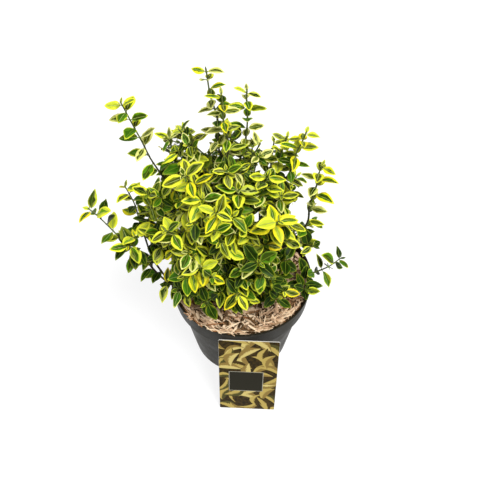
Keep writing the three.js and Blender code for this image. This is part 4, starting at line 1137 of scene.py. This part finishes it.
def keep_twigs(shoots):
    """Leaves out each twig that comes too near a main stem or an earlier twig past TWIG_START, dips into the
    mulch or crosses a gap. Points STEM_STEP apart are tested, so twigs can still graze each other between
    them. A finer twig goes with the twig that bears it."""
    mains = np.concatenate([stem_dots(shoot["stem"]) for shoot in shoots]
                           + [stem_dots(bough) for bough in boughs.values()])
    main_tree = near_tree(mains)
    kept_dots = np.zeros((0, 3))
    for shoot in shoots:
        kept = shoot["stems"][:1]
        for twig in shoot["stems"][1:]:
            parent = twig["pair"]
            if twig["order"] == 2 and not any(parent is pair for stem in kept for pair in stem["pairs"]):
                continue
            dots = stem_dots(twig["stem"])
            away = dots[np.linalg.norm(dots - dots[0], axis=1) > TWIG_START]
            low = (dots[:, 2] < MULCH_CENTRE + FLOOR_ROOM).any()
            hits = any(main_tree.find(dot)[2] < TWIG_CLEAR for dot in away)
            if len(kept_dots) and len(away) and not hits:
                hits = np.linalg.norm(kept_dots[:, None] - away[None], axis=-1).min() < TWIG_CLEAR
            if low or hits or in_gap(dots):
                continue
            parent["leaves"][twig["side"]]["branched"] = True
            kept.append(twig)
            kept_dots = np.concatenate([kept_dots, dots])
        shoot["stems"] = kept


for number, shoot in enumerate(shoots):
    shoot["stems"] = grow(shoot, CROWN_SEED + SEED_STEP * number)
keep_twigs(shoots)
print(sum(len(shoot["stems"]) for shoot in shoots), "stems and twigs")

# %% Room for leaves
LEAF_WIDTH, PETIOLE = 0.49, 0.1
BASE_POWER, TIP_POWER = 0.68, 0.95
LEAF_CLEAR, STEM_CLEAR, POT_ROOM, LEAF_HANGS, LEAF_NEAR = 1.9, 1.5, 2, 12, 0.55
# Tilt, turn and scale at which a leaf is tried, in that order
TRIES = ((0, 0, 1), (0.25, 0, 1), (-0.25, 0, 1), (0, 0.4, 1), (0, -0.4, 1), (0.35, 0.3, 0.9),
         (-0.2, -0.5, 0.8))
SPOT_FORWARD = np.array([0.28, 0.46, 0.64, 0.82, 1.0])
SPOT_ACROSS = np.array([-0.85, -0.45, 0, 0.45, 0.85])


def blade_shape(t):
    """Half width of a blade at a share t of its length, as a share of the widest: a lens, fullest just
    below the middle, with a pointed tip. It is t to one power times (1 - t) to another, over its most."""
    t, peak = np.clip(t, 0, 1), BASE_POWER / (BASE_POWER + TIP_POWER)
    return (t / peak) ** BASE_POWER * ((1 - t) / (1 - peak)) ** TIP_POWER


def leaf_spots(leaf):
    """Points spread over a leaf's blade in rows from its foot to its tip, to test its room."""
    side = np.cross(leaf["face"], leaf["along"])
    half = leaf["length"] * LEAF_WIDTH / 2 * blade_shape((SPOT_FORWARD - PETIOLE) / (1 - PETIOLE))
    forward = leaf["along"] * (SPOT_FORWARD * leaf["length"])[:, None]
    across = side * (half[:, None] * SPOT_ACROSS)[..., None]
    return (leaf["root"] + forward[:, None] + across).reshape(-1, 3)


def turned_leaf(leaf, tilt, turn, scale):
    """The same leaf tilted about its own side, turned about its stem, and scaled."""
    if tilt == 0 and turn == 0 and scale == 1:
        return leaf
    side = np.cross(leaf["face"], leaf["along"])
    along = leaf["along"] * math.cos(tilt) + leaf["face"] * math.sin(tilt)
    face = np.cross(along, side)
    way = leaf["way"]

    def about_stem(vector):
        return (vector * math.cos(turn) + np.cross(way, vector) * math.sin(turn)
                + way * (way @ vector) * (1 - math.cos(turn)))

    return {**leaf, "along": about_stem(along), "face": about_stem(face), "length": leaf["length"] * scale}


def off_limits(dots):
    """Whether any spot lies in the mulch or the rim, hangs far below them, or is outside the solids' box or
    in a gap."""
    over_pot = np.hypot(dots[:, 0], dots[:, 1]) < RIM_RADIUS + POT_ROOM
    low = (dots[over_pot, 2] < MULCH_CENTRE + POT_ROOM).any() or dots[:, 2].min() < MULCH_CENTRE - LEAF_HANGS
    box_low, box_high = (np.array(corner) / MM for corner in cad_box)
    return bool(low or (dots < box_low).any() or (dots > box_high).any() or in_gap(dots))


def keep_leaves(shoots):
    """Leaves of all shoots in rounds from the tips down, so that every shoot keeps its youngest leaves. Each
    is tried at several angles, and kept at the first where the spots on its blade are clear of the stems and
    of the other leaves' spots. Blades can still cross between the spots."""
    stems = [(shoot, stem) for shoot in shoots for stem in shoot["stems"]]
    stem_tree = near_tree(np.concatenate([stem_dots(stem["stem"]) for _, stem in stems]
                                         + [stem_dots(bough) for bough in boughs.values()]))
    rounds, grown = (use(len(stem["pairs"]) for _, stem in stems) for use in (max, sum))
    row, placed = len(SPOT_ACROSS), []
    centres, sizes = np.zeros((2 * grown, 3)), np.zeros(2 * grown)
    spots = np.zeros((2 * grown, len(SPOT_FORWARD) * row, 3))
    for node in range(rounds):
        for leaf, shoot in [(leaf, shoot) for shoot, stem in stems for pair in stem["pairs"][node:node + 1]
                            for leaf in pair["leaves"] if not leaf.get("branched")]:
            for change in TRIES:
                tried = turned_leaf(leaf, *change)
                dots = leaf_spots(tried)
                blade = dots[row:]
                if off_limits(dots) or any(stem_tree.find(dot)[2] < STEM_CLEAR for dot in blade):
                    continue
                middle, count = dots.mean(axis=0), len(placed)
                reach = (sizes[:count] + tried["length"]) * LEAF_NEAR
                close = np.linalg.norm(centres[:count] - middle, axis=1) < reach
                near = spots[:count][close].reshape(-1, 3)
                if len(near) and np.linalg.norm(near[:, None] - blade[None], axis=-1).min() < LEAF_CLEAR:
                    continue
                centres[count], sizes[count], spots[count] = middle, tried["length"], dots
                placed.append({**tried, "shoot": shoot})
                break
    return placed


leaves = keep_leaves(shoots)
print(len(leaves), "leaves of", sum(2 * len(stem["pairs"]) for shoot in shoots for stem in shoot["stems"]))

# %% [markdown]
# ## Leaves
# A real leaf is a leathery blade 15 to 26 mm long, folded along its pale rib, with a recurved tip and a
# gently waved margin. Around the rib lies a dark heart, beside it paler flames, and the rim is yellow.
# Here a leaf is a grid of seven strips that run from its stalk to its tip, a few dozen faces in all. The
# lines between the strips wander as the colours do, so each strip takes one plain colour. Six kinds of
# leaf share these colours: golden, lime, creamy, edged, green and shaded. Golden shoots bear more of the
# first two high up and out of the shade, the tallest shoots the creamy ones, and the leaves that lie under
# many others are green or shaded. These darker, greener colours low down and under other leaves are partly
# how such leaves grow and partly painted shade.

# %% Leaf colours
LEAF_COLOURS = {
    "stalk": (0.20, 0.25, 0.03), "rib_pale": (0.38, 0.45, 0.13), "rib_green": (0.17, 0.25, 0.02),
    "heart_deep": (0.012, 0.028, 0.001), "heart_dark": (0.036, 0.068, 0.002),
    "heart_olive": (0.058, 0.074, 0.006), "heart_green": (0.042, 0.130, 0.004),
    "heart_fresh": (0.120, 0.280, 0.006),
    "flame_dark": (0.022, 0.060, 0.002), "flame_olive": (0.175, 0.205, 0.010),
    "flame_grey": (0.250, 0.275, 0.050), "flame_green": (0.085, 0.215, 0.006),
    "flame_lime": (0.380, 0.460, 0.015), "flame_pale": (0.540, 0.590, 0.110),
    "rim_dull": (0.200, 0.265, 0.020), "rim_cream": (0.770, 0.765, 0.240), "rim_lime": (0.560, 0.630, 0.040),
    "rim_lemon": (0.800, 0.830, 0.045), "rim_gold": (0.870, 0.780, 0.020), "rim_amber": (0.850, 0.700, 0.020),
}
# Each kind: the colours that its parts are drawn from, and how wide its green is, as a share of the leaf, and
# its heart, as a share of the green
LEAF_KINDS = {
    "golden": {"rim": ("rim_lemon", "rim_lemon", "rim_lemon", "rim_gold"),
               "flame": ("flame_lime", "flame_green", "flame_olive"),
               "heart": ("heart_dark", "heart_olive", "heart_green"),
               "rib": ("rib_pale",), "shares": (0.52, 0.54)},
    "lime": {"rim": ("rim_lemon",), "flame": ("rim_lime",),
             "heart": ("heart_fresh", "flame_lime"),
             "rib": ("rib_pale",), "shares": (0.66, 0.42)},
    "creamy": {"rim": ("rim_cream", "rim_cream", "rim_lemon"),
               "flame": ("flame_pale", "flame_grey", "flame_olive"),
               "heart": ("heart_olive", "heart_dark"),
               "rib": ("rib_pale",), "shares": (0.56, 0.58)},
    "edged": {"rim": ("rim_lemon", "rim_lemon", "rim_lime", "rim_cream"),
              "flame": ("flame_grey", "flame_olive", "flame_pale"),
              "heart": ("heart_dark", "heart_deep"),
              "rib": ("rib_pale", "rib_green"), "shares": (0.72, 0.55)},
    "green": {"rim": ("rim_lime", "rim_lime", "rim_cream", "rim_dull"),
              "flame": ("flame_green", "flame_green", "flame_olive"),
              "heart": ("heart_green", "heart_dark"),
              "rib": ("rib_green", "rib_pale"), "shares": (0.86, 0.62)},
    # The shaded kind's near-black colours are painted shade, for leaves deep under others
    "shaded": {"rim": ("rim_dull", "flame_olive"), "flame": ("flame_dark",),
               "heart": ("heart_deep",),
               "rib": ("rib_green",), "shares": (0.90, 0.60)},
}
# How readily each kind is drawn: a fixed part, and what height, shade, gold, gold squared and tallness add.
# Bright kinds drawn high up and dark ones low down and in the shade are partly painted light and shade
KIND_WEIGHTS = {
    "golden": (0, 0.2, -0.5, 0, 2.6, 0),
    "lime": (-0.36, 0, 0, 1.2, 0, 0),
    "creamy": (0, 0, 0, -1.6, 0, 2.2),
    "edged": (0.3, 0.3, 0, 0, 0, 0),
    "green": (0.9, -0.5, 0.7, -0.8, 0, 0),
}
SHADED_WEIGHT, SHADED_FROM, SHADED_TOP, SHADED_GOLD = 10, 0.5, 1.08, 2
# How much of a shoot's gold a leaf has: on an old leaf, on one low down out of the sun, and by its shade.
# The loss of gold low down and in the shade is partly how the plant grows, partly painted shade
OLD_GOLD, DULL_GOLD, LIT_GOLD, SHADE_TAKES, GOLD_VARIES, OLD_NODE = 0.7, 0.3, 1.4, 0.95, 0.1, 8
LEAF_GLOSS, LEAF_ROUGHNESS = 0.07, 0.4
SHADE_LEAVES, SHADE_SLOPE, SHADE_MARGIN, SHADE_ABOVE = 6, 0.5, 10, 5
# Where the measures of a leaf's place start, and over how many millimetres they rise to 1
HIGH, SUNNY, TALL = (POT_HEIGHT, 110), (195, 55), (335, 50)
SHARE_VARIES, ODD_SIDES, AMBER_RIMS, LEAF_SEED = 0.07, 0.3, 0.035, 77
leaf_looks = [plain_look(name, colour, LEAF_ROUGHNESS, LEAF_GLOSS) for name, colour in LEAF_COLOURS.items()]
LOOK_NUMBER = {name: number for number, name in enumerate(LEAF_COLOURS)}


# %% Deal the kinds and the colours
def shade_on(leaves):
    """How far each leaf stands in the shade: 1 less e to the power of minus the number of leaves in a wide
    cone above it, over SHADE_LEAVES."""
    middles = np.array([leaf["root"] + leaf["along"] * leaf["length"] / 2 for leaf in leaves])
    apart = middles[None] - middles[:, None]
    level = np.hypot(apart[..., 0], apart[..., 1])
    above = (apart[..., 2] > SHADE_ABOVE) & (level < SHADE_SLOPE * apart[..., 2] + SHADE_MARGIN)
    return 1 - np.exp(-above.sum(axis=1) / SHADE_LEAVES)


def leaf_kind(leaf, shade, random):
    """One kind of leaf, drawn by how golden its shoot is, how young and high it is, and its shade. The shaded
    kind's weight is a product: deep in the shade, low down, and on a shoot with little gold."""
    z = leaf["root"][2]
    high, sunny, tall = (np.clip((z - start) / rise, 0, 1) for start, rise in (HIGH, SUNNY, TALL))
    young = max(0, 1 - leaf["node"] / OLD_NODE)
    gold = leaf["shoot"]["gold"] * (OLD_GOLD + (1 - OLD_GOLD) * young) * (DULL_GOLD + (1 - DULL_GOLD) * sunny)
    # Less gold in the shade: partly how the plant grows, partly painted shade
    gold = gold * (LIT_GOLD - SHADE_TAKES * shade) + random.normal(0, GOLD_VARIES)
    measures = np.array([1, high, shade, gold, gold * max(gold, 0), tall])
    chances = [measures @ weights for weights in KIND_WEIGHTS.values()]
    # The shaded kind's weight; its dark colours are painted shade
    dull = max(1 - gold / SHADED_GOLD, 0)
    chances.append(SHADED_WEIGHT * (shade - SHADED_FROM) * (SHADED_TOP - high) * dull)
    chances = np.maximum(chances, 0)
    return list(LEAF_KINDS)[int(random.choice(len(chances), p=chances / chances.sum()))]


def deal_colours(leaf, kind, random):
    """A leaf's colours from left rim to right rim, and how wide its green and its heart are. Some leaves have
    another flame on one side, and a few on golden shoots an amber rim."""
    of_kind = LEAF_KINDS[kind]
    chosen = {part: random.choice(of_kind[part]) for part in ("rim", "flame", "heart", "rib")}
    if random.random() < AMBER_RIMS * leaf["shoot"]["gold"]:
        chosen["rim"] = "rim_amber"
    other = random.choice(of_kind["flame"]) if random.random() < ODD_SIDES else chosen["flame"]
    names = [*chosen.values(), chosen["heart"], other, chosen["rim"]]
    leaf["strips"] = [LOOK_NUMBER[str(name)] for name in names]
    leaf["shares"] = np.clip(np.array(of_kind["shares"]) + random.normal(0, SHARE_VARIES, 2), 0.2, 0.95)


colour_random = np.random.default_rng(LEAF_SEED)
kinds = [leaf_kind(leaf, shade, colour_random) for leaf, shade in zip(leaves, shade_on(leaves))]
for leaf, kind in zip(leaves, kinds):
    deal_colours(leaf, kind, colour_random)
print({kind: kinds.count(kind) for kind in LEAF_KINDS})

# %% Leaf surface
LEAF_STEPS = np.array([0, 0.08, 0.22, 0.38, 0.55, 0.72, 0.88])
STALK_HALF, RIB_HALF, WIDTH_VARIES, EDGE_WANDERS, HEART_WANDERS = 0.4, 0.32, (0.86, 1.14), 0.08, 0.22
# Each leaf's form is drawn between these limits: its fold at the rib, the cup of its sides, its droop, the
# size and phase of its edge's wave, its sway to one side and its twist
LEAF_FORM = {"fold": (0.1, 0.5), "cup": (0.05, 0.35), "droop": (0.02, 0.3), "wave": (0.0, 0.04),
             "phase": (0, 2 * math.pi), "sway": (-0.1, 0.1), "twist": (-0.4, 0.4)}


def strip_lines(leaves, t, half, random):
    """The eight lines that part a leaf's strips, as shares of its half width from one edge to the other.
    The inner ones wander, and draw in towards both ends of the leaf."""
    count, rows = half.shape
    green, flame = (np.array([leaf["shares"][i] for leaf in leaves])[:, None, None] for i in (0, 1))

    def wandering(size):
        return random.normal(0, size, (count, rows, 2))

    swell = np.sin(math.pi * np.clip(0.06 + t, 0, 1))[:, None] ** 0.5
    rib = np.minimum(RIB_HALF * (1 - 0.6 * t) / half, 0.3)[..., None] * np.ones(2)
    outer = np.clip(green * (0.4 + 0.6 * swell) + wandering(EDGE_WANDERS), rib + 0.1, 0.96)
    heart = outer * (flame * (0.3 + 0.7 * swell) + wandering(HEART_WANDERS))
    heart = np.clip(heart, rib + 0.03, outer - 0.04)
    inward = [np.ones_like(rib), outer, heart, rib]
    return np.stack([-line[..., 0] for line in inward] + [line[..., 1] for line in inward[::-1]], axis=-1)


def leaf_surfaces(leaves, seed):
    """All leaves at once. Row u runs from the stalk to the tip and eight lines run along the leaf. A point
    lies at its line's share of the half width, on a blade that is folded at the rib, arched to its tip,
    twisted a little and waved at its edge."""
    random = np.random.default_rng(seed)
    count = len(leaves)
    root, along, face, length, strips = (
        np.array([leaf[key] for leaf in leaves]) for key in ("root", "along", "face", "length", "strips"))
    side = np.cross(face, along)
    u = np.concatenate([[0], PETIOLE + (1 - PETIOLE) * LEAF_STEPS])
    t = np.clip((u - PETIOLE) / (1 - PETIOLE), 0, 1)
    widest = (length * LEAF_WIDTH / 2 * random.uniform(*WIDTH_VARIES, count))[:, None]
    half = np.maximum(widest * blade_shape(t), STALK_HALF)
    lines = strip_lines(leaves, t, half, random)
    y = lines * half[..., None]
    fold, cup, droop, wave, phase, sway, twist = (
        random.uniform(low, high, (count, 1, 1)) for low, high in LEAF_FORM.values())
    uu, long = u[None, :, None], length[:, None, None]
    share = np.abs(lines)
    z = fold * np.abs(y) - cup * share ** 2 * np.abs(y)
    z = z + long * (0.35 * droop * uu - droop * uu ** 2.4)
    z = z + wave * long * share ** 2 * np.sin(uu * 9 + phase + np.sign(lines) * 1.3)
    x = long * uu * (1 - 0.12 * droop * uu ** 2)
    y = y + sway * long * uu ** 2
    cosine, sine = np.cos(twist * uu)[..., None], np.sin(twist * uu)[..., None]
    frame_side = side[:, None, None] * cosine + face[:, None, None] * sine
    frame_face = face[:, None, None] * cosine - side[:, None, None] * sine
    points = (root[:, None, None] + x[..., None] * along[:, None, None]
              + y[..., None] * frame_side + z[..., None] * frame_face)
    last_step = points[:, -1].mean(axis=1) - points[:, -2].mean(axis=1)
    tip = points[:, -1].mean(axis=1) + last_step * (1 - t[-1]) / (t[-1] - t[-2])
    rows, columns = len(u), lines.shape[-1]
    flat = np.concatenate([points.reshape(count, -1, 3), tip[:, None]], axis=1)
    quads = grid_faces(rows, columns)
    last = (rows - 1) * columns + np.arange(columns)
    tips = np.stack([last[:-1], last[1:], np.full(columns - 1, rows * columns)], axis=-1)
    quad_looks = np.repeat(strips[:, None], rows - 1, axis=1)
    quad_looks[:, 0] = LOOK_NUMBER["stalk"]
    tip_looks = np.repeat(strips[:, :1], columns - 1, axis=1)
    first = (np.arange(count) * flat.shape[1])[:, None, None]
    faces = [(quads + first).reshape(-1, 4), (tips + first).reshape(-1, 3)]
    looks = np.concatenate([quad_looks.ravel(), tip_looks.ravel()])
    return flat.reshape(-1, 3), faces, looks


# %% Leaf pieces
LEAF_PIECES = {
    "leaves_top": ("spire_back", "spire_front", "spire_right", "crown_heart", "left_inner", "left_knot",
                   "right_spire", "right_inner", "back_right_high"),
    "leaves_left": ("left_spire", "left_wing", "far_left", "left_low", "back_left_high", "back_left_side",
                    "back_left_low", "left_middle", "side_left", "skirt_left"),
    "leaves_right": ("far_right", "right_side", "low_right", "rim_right", "back_right", "back_mid",
                     "back_low", "back_right_side", "back_right_low", "right_middle"),
    "leaves_front": ("rosette_left", "front_high", "front_rosette", "front_right_high", "front_right",
                     "front_left", "front_left_low", "skirt_front_left", "skirt_front", "skirt_front_right",
                     "front_mid"),
}
for number, (name, names) in enumerate(LEAF_PIECES.items()):
    group = [leaf for leaf in leaves if leaf["shoot"]["name"] in names]
    leaf_points, leaf_faces, face_looks = leaf_surfaces(group, LEAF_SEED + number)
    piece = make_piece(name, leaf_points, leaf_faces, leaf_looks, face_looks)
    finish_piece(piece, "foliage", *[f"mass_{each}" for each in names])

# %% [markdown]
# ## Stems
# Young stems are green and slightly four-sided, swollen where the leaf pairs sit, and end in a small
# pointed bud. Older ones turn olive and then brown. Each is a tube along its curve with a ring before, at
# and after each pair.

# %% Stem pieces
STEM_FOOT, STEM_TIP, TWIG_FOOT, FINE_FOOT = 1.35, 0.62, 0.95, 0.8
NODE_SWELL, NODE_SOFT, STEM_SIDES, NODE_HALF, RING_GAP, STEM_CORNERS = 1.35, 0.6, 8, 1.1, 7, 0.08
# The bud's rings: how far past the tip, and how thick, as shares of the tip's thickness
BUD = np.array([[0.9, 1.15], [1.9, 0.95], [2.9, 0.3]])
# How far from its tip a stem and a twig are green, and a stem olive
STEM_GREEN, TWIG_GREEN, STEM_OLIVE = 45, 40, 110
STEM_LOOKS = [
    plain_look("stem_green", (0.11, 0.15, 0.03), 0.5),
    plain_look("stem_olive", (0.065, 0.07, 0.025), 0.6),
    plain_look("stem_brown", (0.055, 0.036, 0.020), 0.8),
]


def stem_tube(grown, foot):
    """A tapering tube, thicker at each leaf pair, closed by a pointed bud, and how far along the stem each
    band of its faces lies. Its radius swells as a bell curve about each pair."""
    stem = grown["stem"]
    length = stem.length
    nodes = np.array([pair["share"] for pair in grown["pairs"]])
    marks = np.concatenate([np.linspace(0, 1, max(4, int(length / RING_GAP))), nodes,
                            nodes - NODE_HALF / length, nodes + NODE_HALF / length])
    shares = np.unique(np.clip(np.round(marks, 5), 0, 1))
    path, _ = stem.at(shares)
    radii = foot + (STEM_TIP - foot) * shares
    if len(nodes):
        near = np.abs(shares[:, None] - nodes).min(axis=1) * length
        radii = radii * (1 + (NODE_SWELL - 1) * np.exp(-(near / NODE_SOFT) ** 2))
    path = np.concatenate([path, path[-1] + stem.ways[-1] * BUD[:, :1]])
    radii = np.concatenate([radii, STEM_TIP * BUD[:, 1]])
    points, faces = tube(path, radii, STEM_SIDES, grown["level"], STEM_CORNERS)
    return points, faces, np.concatenate([(shares[:-1] + shares[1:]) / 2, np.ones(len(BUD))])


stems = Gathered()
for shoot in shoots:
    for grown in shoot["stems"]:
        points, faces, bands = stem_tube(grown, (STEM_FOOT, TWIG_FOOT, TWIG_FOOT * FINE_FOOT)[grown["order"]])
        back = (1 - bands) * grown["stem"].length
        twig_age = np.where(back < TWIG_GREEN, 0, 1)
        stem_age = np.where(back < STEM_GREEN, 0, np.where(back < STEM_OLIVE, 1, 2))
        stems.add(points, faces, (np.repeat(twig_age if grown["order"] else stem_age, STEM_SIDES), 0))
finish_piece(stems.piece("stems", STEM_LOOKS), "foliage")

# %% [markdown]
# ## Old wood
# All shoots rise from one short stool and fifteen stubby boughs, hidden by leaves unless one looks in from
# close by. They are brown, ridged and knobbly. The bark's relief is in the mesh, with finer cracks as bump.

# %% Old wood sizes
STOOL_ROWS, FLARE_ROWS, STOOL_SIDES = 46, 12, 90
HEAD_FROM, HEAD_TO, STOOL_TOP = -0.21 * math.pi, 0.47 * math.pi, 0.6
STOOL_LOBES, LOBE_DEPTH, RIDGES, FINE_RIDGES, BARK_RELIEF, RIDGES_FROM = 5, 0.14, 13, 29, 0.7, 8
BOUGH_FOOT, BOUGH_TIP, BOUGH_KNOB, KNOB_LENGTH, BOUGH_SIDES, BOUGH_STEP = 3.1, 1.7, 0.7, 4, 16, 1.2
# A bough's two reliefs: depth, size and how many waves
BOUGH_RELIEFS, BOUGH_SEED = ((0.22, 3, 16), (0.12, 1.4, 16)), 300
BARK_BROWN, BARK_GREY, BARK_ROUGH = (0.105, 0.068, 0.036, 1), (0.17, 0.14, 0.085, 1), 0.85
BARK_BLOTCH, BARK_CRACK, CRACK_DEPTH, CRACK_STRETCH = 0.006, 0.0009, 0.0006, (1.0, 1.0, 0.25)


# %% Stool and boughs
def bark_look():
    """Brown wood with grey-green blotches and long fine cracks."""
    look, tree, shader, place = patterned_look("old_bark")
    colours = place_group(tree, BLOTCHES, Place=place, One=BARK_BROWN, Other=BARK_GREY, Size=BARK_BLOTCH)
    tree.feed(shader.inputs["Base Color"], colours.outputs["Colour"])
    shader.inputs["Roughness"].default_value = BARK_ROUGH
    stretched = tree.node("ShaderNodeMapping", Vector=place, Scale=CRACK_STRETCH)
    cracks = place_group(tree, GRAIN, Place=stretched.outputs[0], Size=BARK_CRACK)
    add_bump(tree, shader, cracks.outputs["Height"], CRACK_DEPTH)
    return look


def stool():
    """The stool: a lobed flare on the mulch, a waist and a round head, roughened by ridges that run up it.
    Sine waves round it, of which the phase wanders with the height, make the ridges."""
    foot = MULCH_CENTRE + GAP
    head = np.linspace(HEAD_FROM, HEAD_TO, STOOL_ROWS - FLARE_ROWS)
    rise = np.linspace(0, 1, FLARE_ROWS, endpoint=False)
    waist_height, waist = STOOL_HEAD_HEIGHT + STOOL_HEAD * math.sin(head[0]), STOOL_HEAD * math.cos(head[0])
    z = np.concatenate([foot + (waist_height - foot) * rise, STOOL_HEAD_HEIGHT + STOOL_HEAD * np.sin(head)])
    z = z[:, None]
    radius = np.concatenate([waist + (STOOL_FLARE - waist) * (1 - rise) ** 2, STOOL_HEAD * np.cos(head)])
    lobes = np.concatenate([LOBE_DEPTH * (1 - rise) ** 1.5, np.zeros(len(head))])
    angle = np.arange(STOOL_SIDES) * 2 * math.pi / STOOL_SIDES
    ring = radius[:, None] * (1 + lobes[:, None] * np.cos(STOOL_LOBES * angle))
    ridges = 0.5 * np.sin(RIDGES * angle + 0.5 * np.sin(z * 0.5))
    ridges = ridges + 0.5 * np.sin(FINE_RIDGES * angle + 0.3 * z)
    ring = ring + BARK_RELIEF * ridges * np.minimum(1, ring / RIDGES_FROM) - BARK_RELIEF
    lean = STOOL_LEAN * (STOOL_HEAD_HEIGHT - z) / STOOL_HEAD_HEIGHT
    points = np.stack([ring * np.cos(angle) + lean, ring * np.sin(angle), np.repeat(z, STOOL_SIDES, axis=1)],
                      axis=-1).reshape(-1, 3)
    ends = np.array([[0, 0, foot], [0, 0, z[-1, 0] + STOOL_TOP]])
    last = (STOOL_ROWS - 1) * STOOL_SIDES + np.arange(STOOL_SIDES)
    caps = np.concatenate([
        fan_faces(np.arange(STOOL_SIDES), len(points), flip=True), fan_faces(last, len(points) + 1),
    ])
    return np.concatenate([points, ends]), [grid_faces(STOOL_ROWS, STOOL_SIDES, closed=True), caps]


def bough_tube(stem, seed):
    """One bough: a tapering tube whose skin is pushed in and out by waves, with a knob where it forks."""
    shares = np.linspace(0, 1, max(8, int(stem.length / BOUGH_STEP)))
    path, _ = stem.at(shares)
    knob = BOUGH_KNOB * np.exp(-((1 - shares) * stem.length / KNOB_LENGTH) ** 2)
    radii = BOUGH_FOOT + (BOUGH_TIP - BOUGH_FOOT) * shares + knob
    points, faces = tube(path, radii, BOUGH_SIDES, np.array([0.6, 0.8, 0.05]))
    centre = np.concatenate([np.repeat(path, BOUGH_SIDES, axis=0), path[:1], path[-1:]])
    relief = sum(depth * waves(points, size, count, seed + number)
                 for number, (depth, size, count) in enumerate(BOUGH_RELIEFS))
    return points + unit(points - centre) * relief[:, None], faces


wood = Gathered()
wood.add(*stool(), (0, 0))
for number, stem in enumerate(boughs.values()):
    wood.add(*bough_tube(stem, BOUGH_SEED + len(BOUGH_RELIEFS) * number), (0, 0))
finish_piece(wood.piece("old_wood", [bark_look()]), "old_wood", "trunk", *boughs)

# %% [markdown]
# ## Floor
# The photograph has a plain white ground. A wide pale plane stands in for it. It glows, so that it stays
# white under soft light while the plant's shadow still shows, but the glow doesn't light the plant.

# %% Floor
FLOOR_HALF, FLOOR_DEPTH, FLOOR_WHITE, FLOOR_ROUGH, FLOOR_GLOW = 3000, 0.2, 0.25, 0.9, 0.8
corners = np.array([[-1, -1, 0], [1, -1, 0], [1, 1, 0], [-1, 1, 0]]) * FLOOR_HALF - [0, 0, FLOOR_DEPTH]
floor_look = plain_look("floor_white", (FLOOR_WHITE,) * 3, FLOOR_ROUGH)
floor_shader = floor_look.node_tree.nodes["Principled BSDF"]
floor_shader.inputs["Emission Color"].default_value = (1, 1, 1, 1)
floor_shader.inputs["Emission Strength"].default_value = FLOOR_GLOW
floor = make_piece("floor", corners, [np.array([[0, 1, 2, 3]])], [floor_look])
floor.visible_diffuse = False
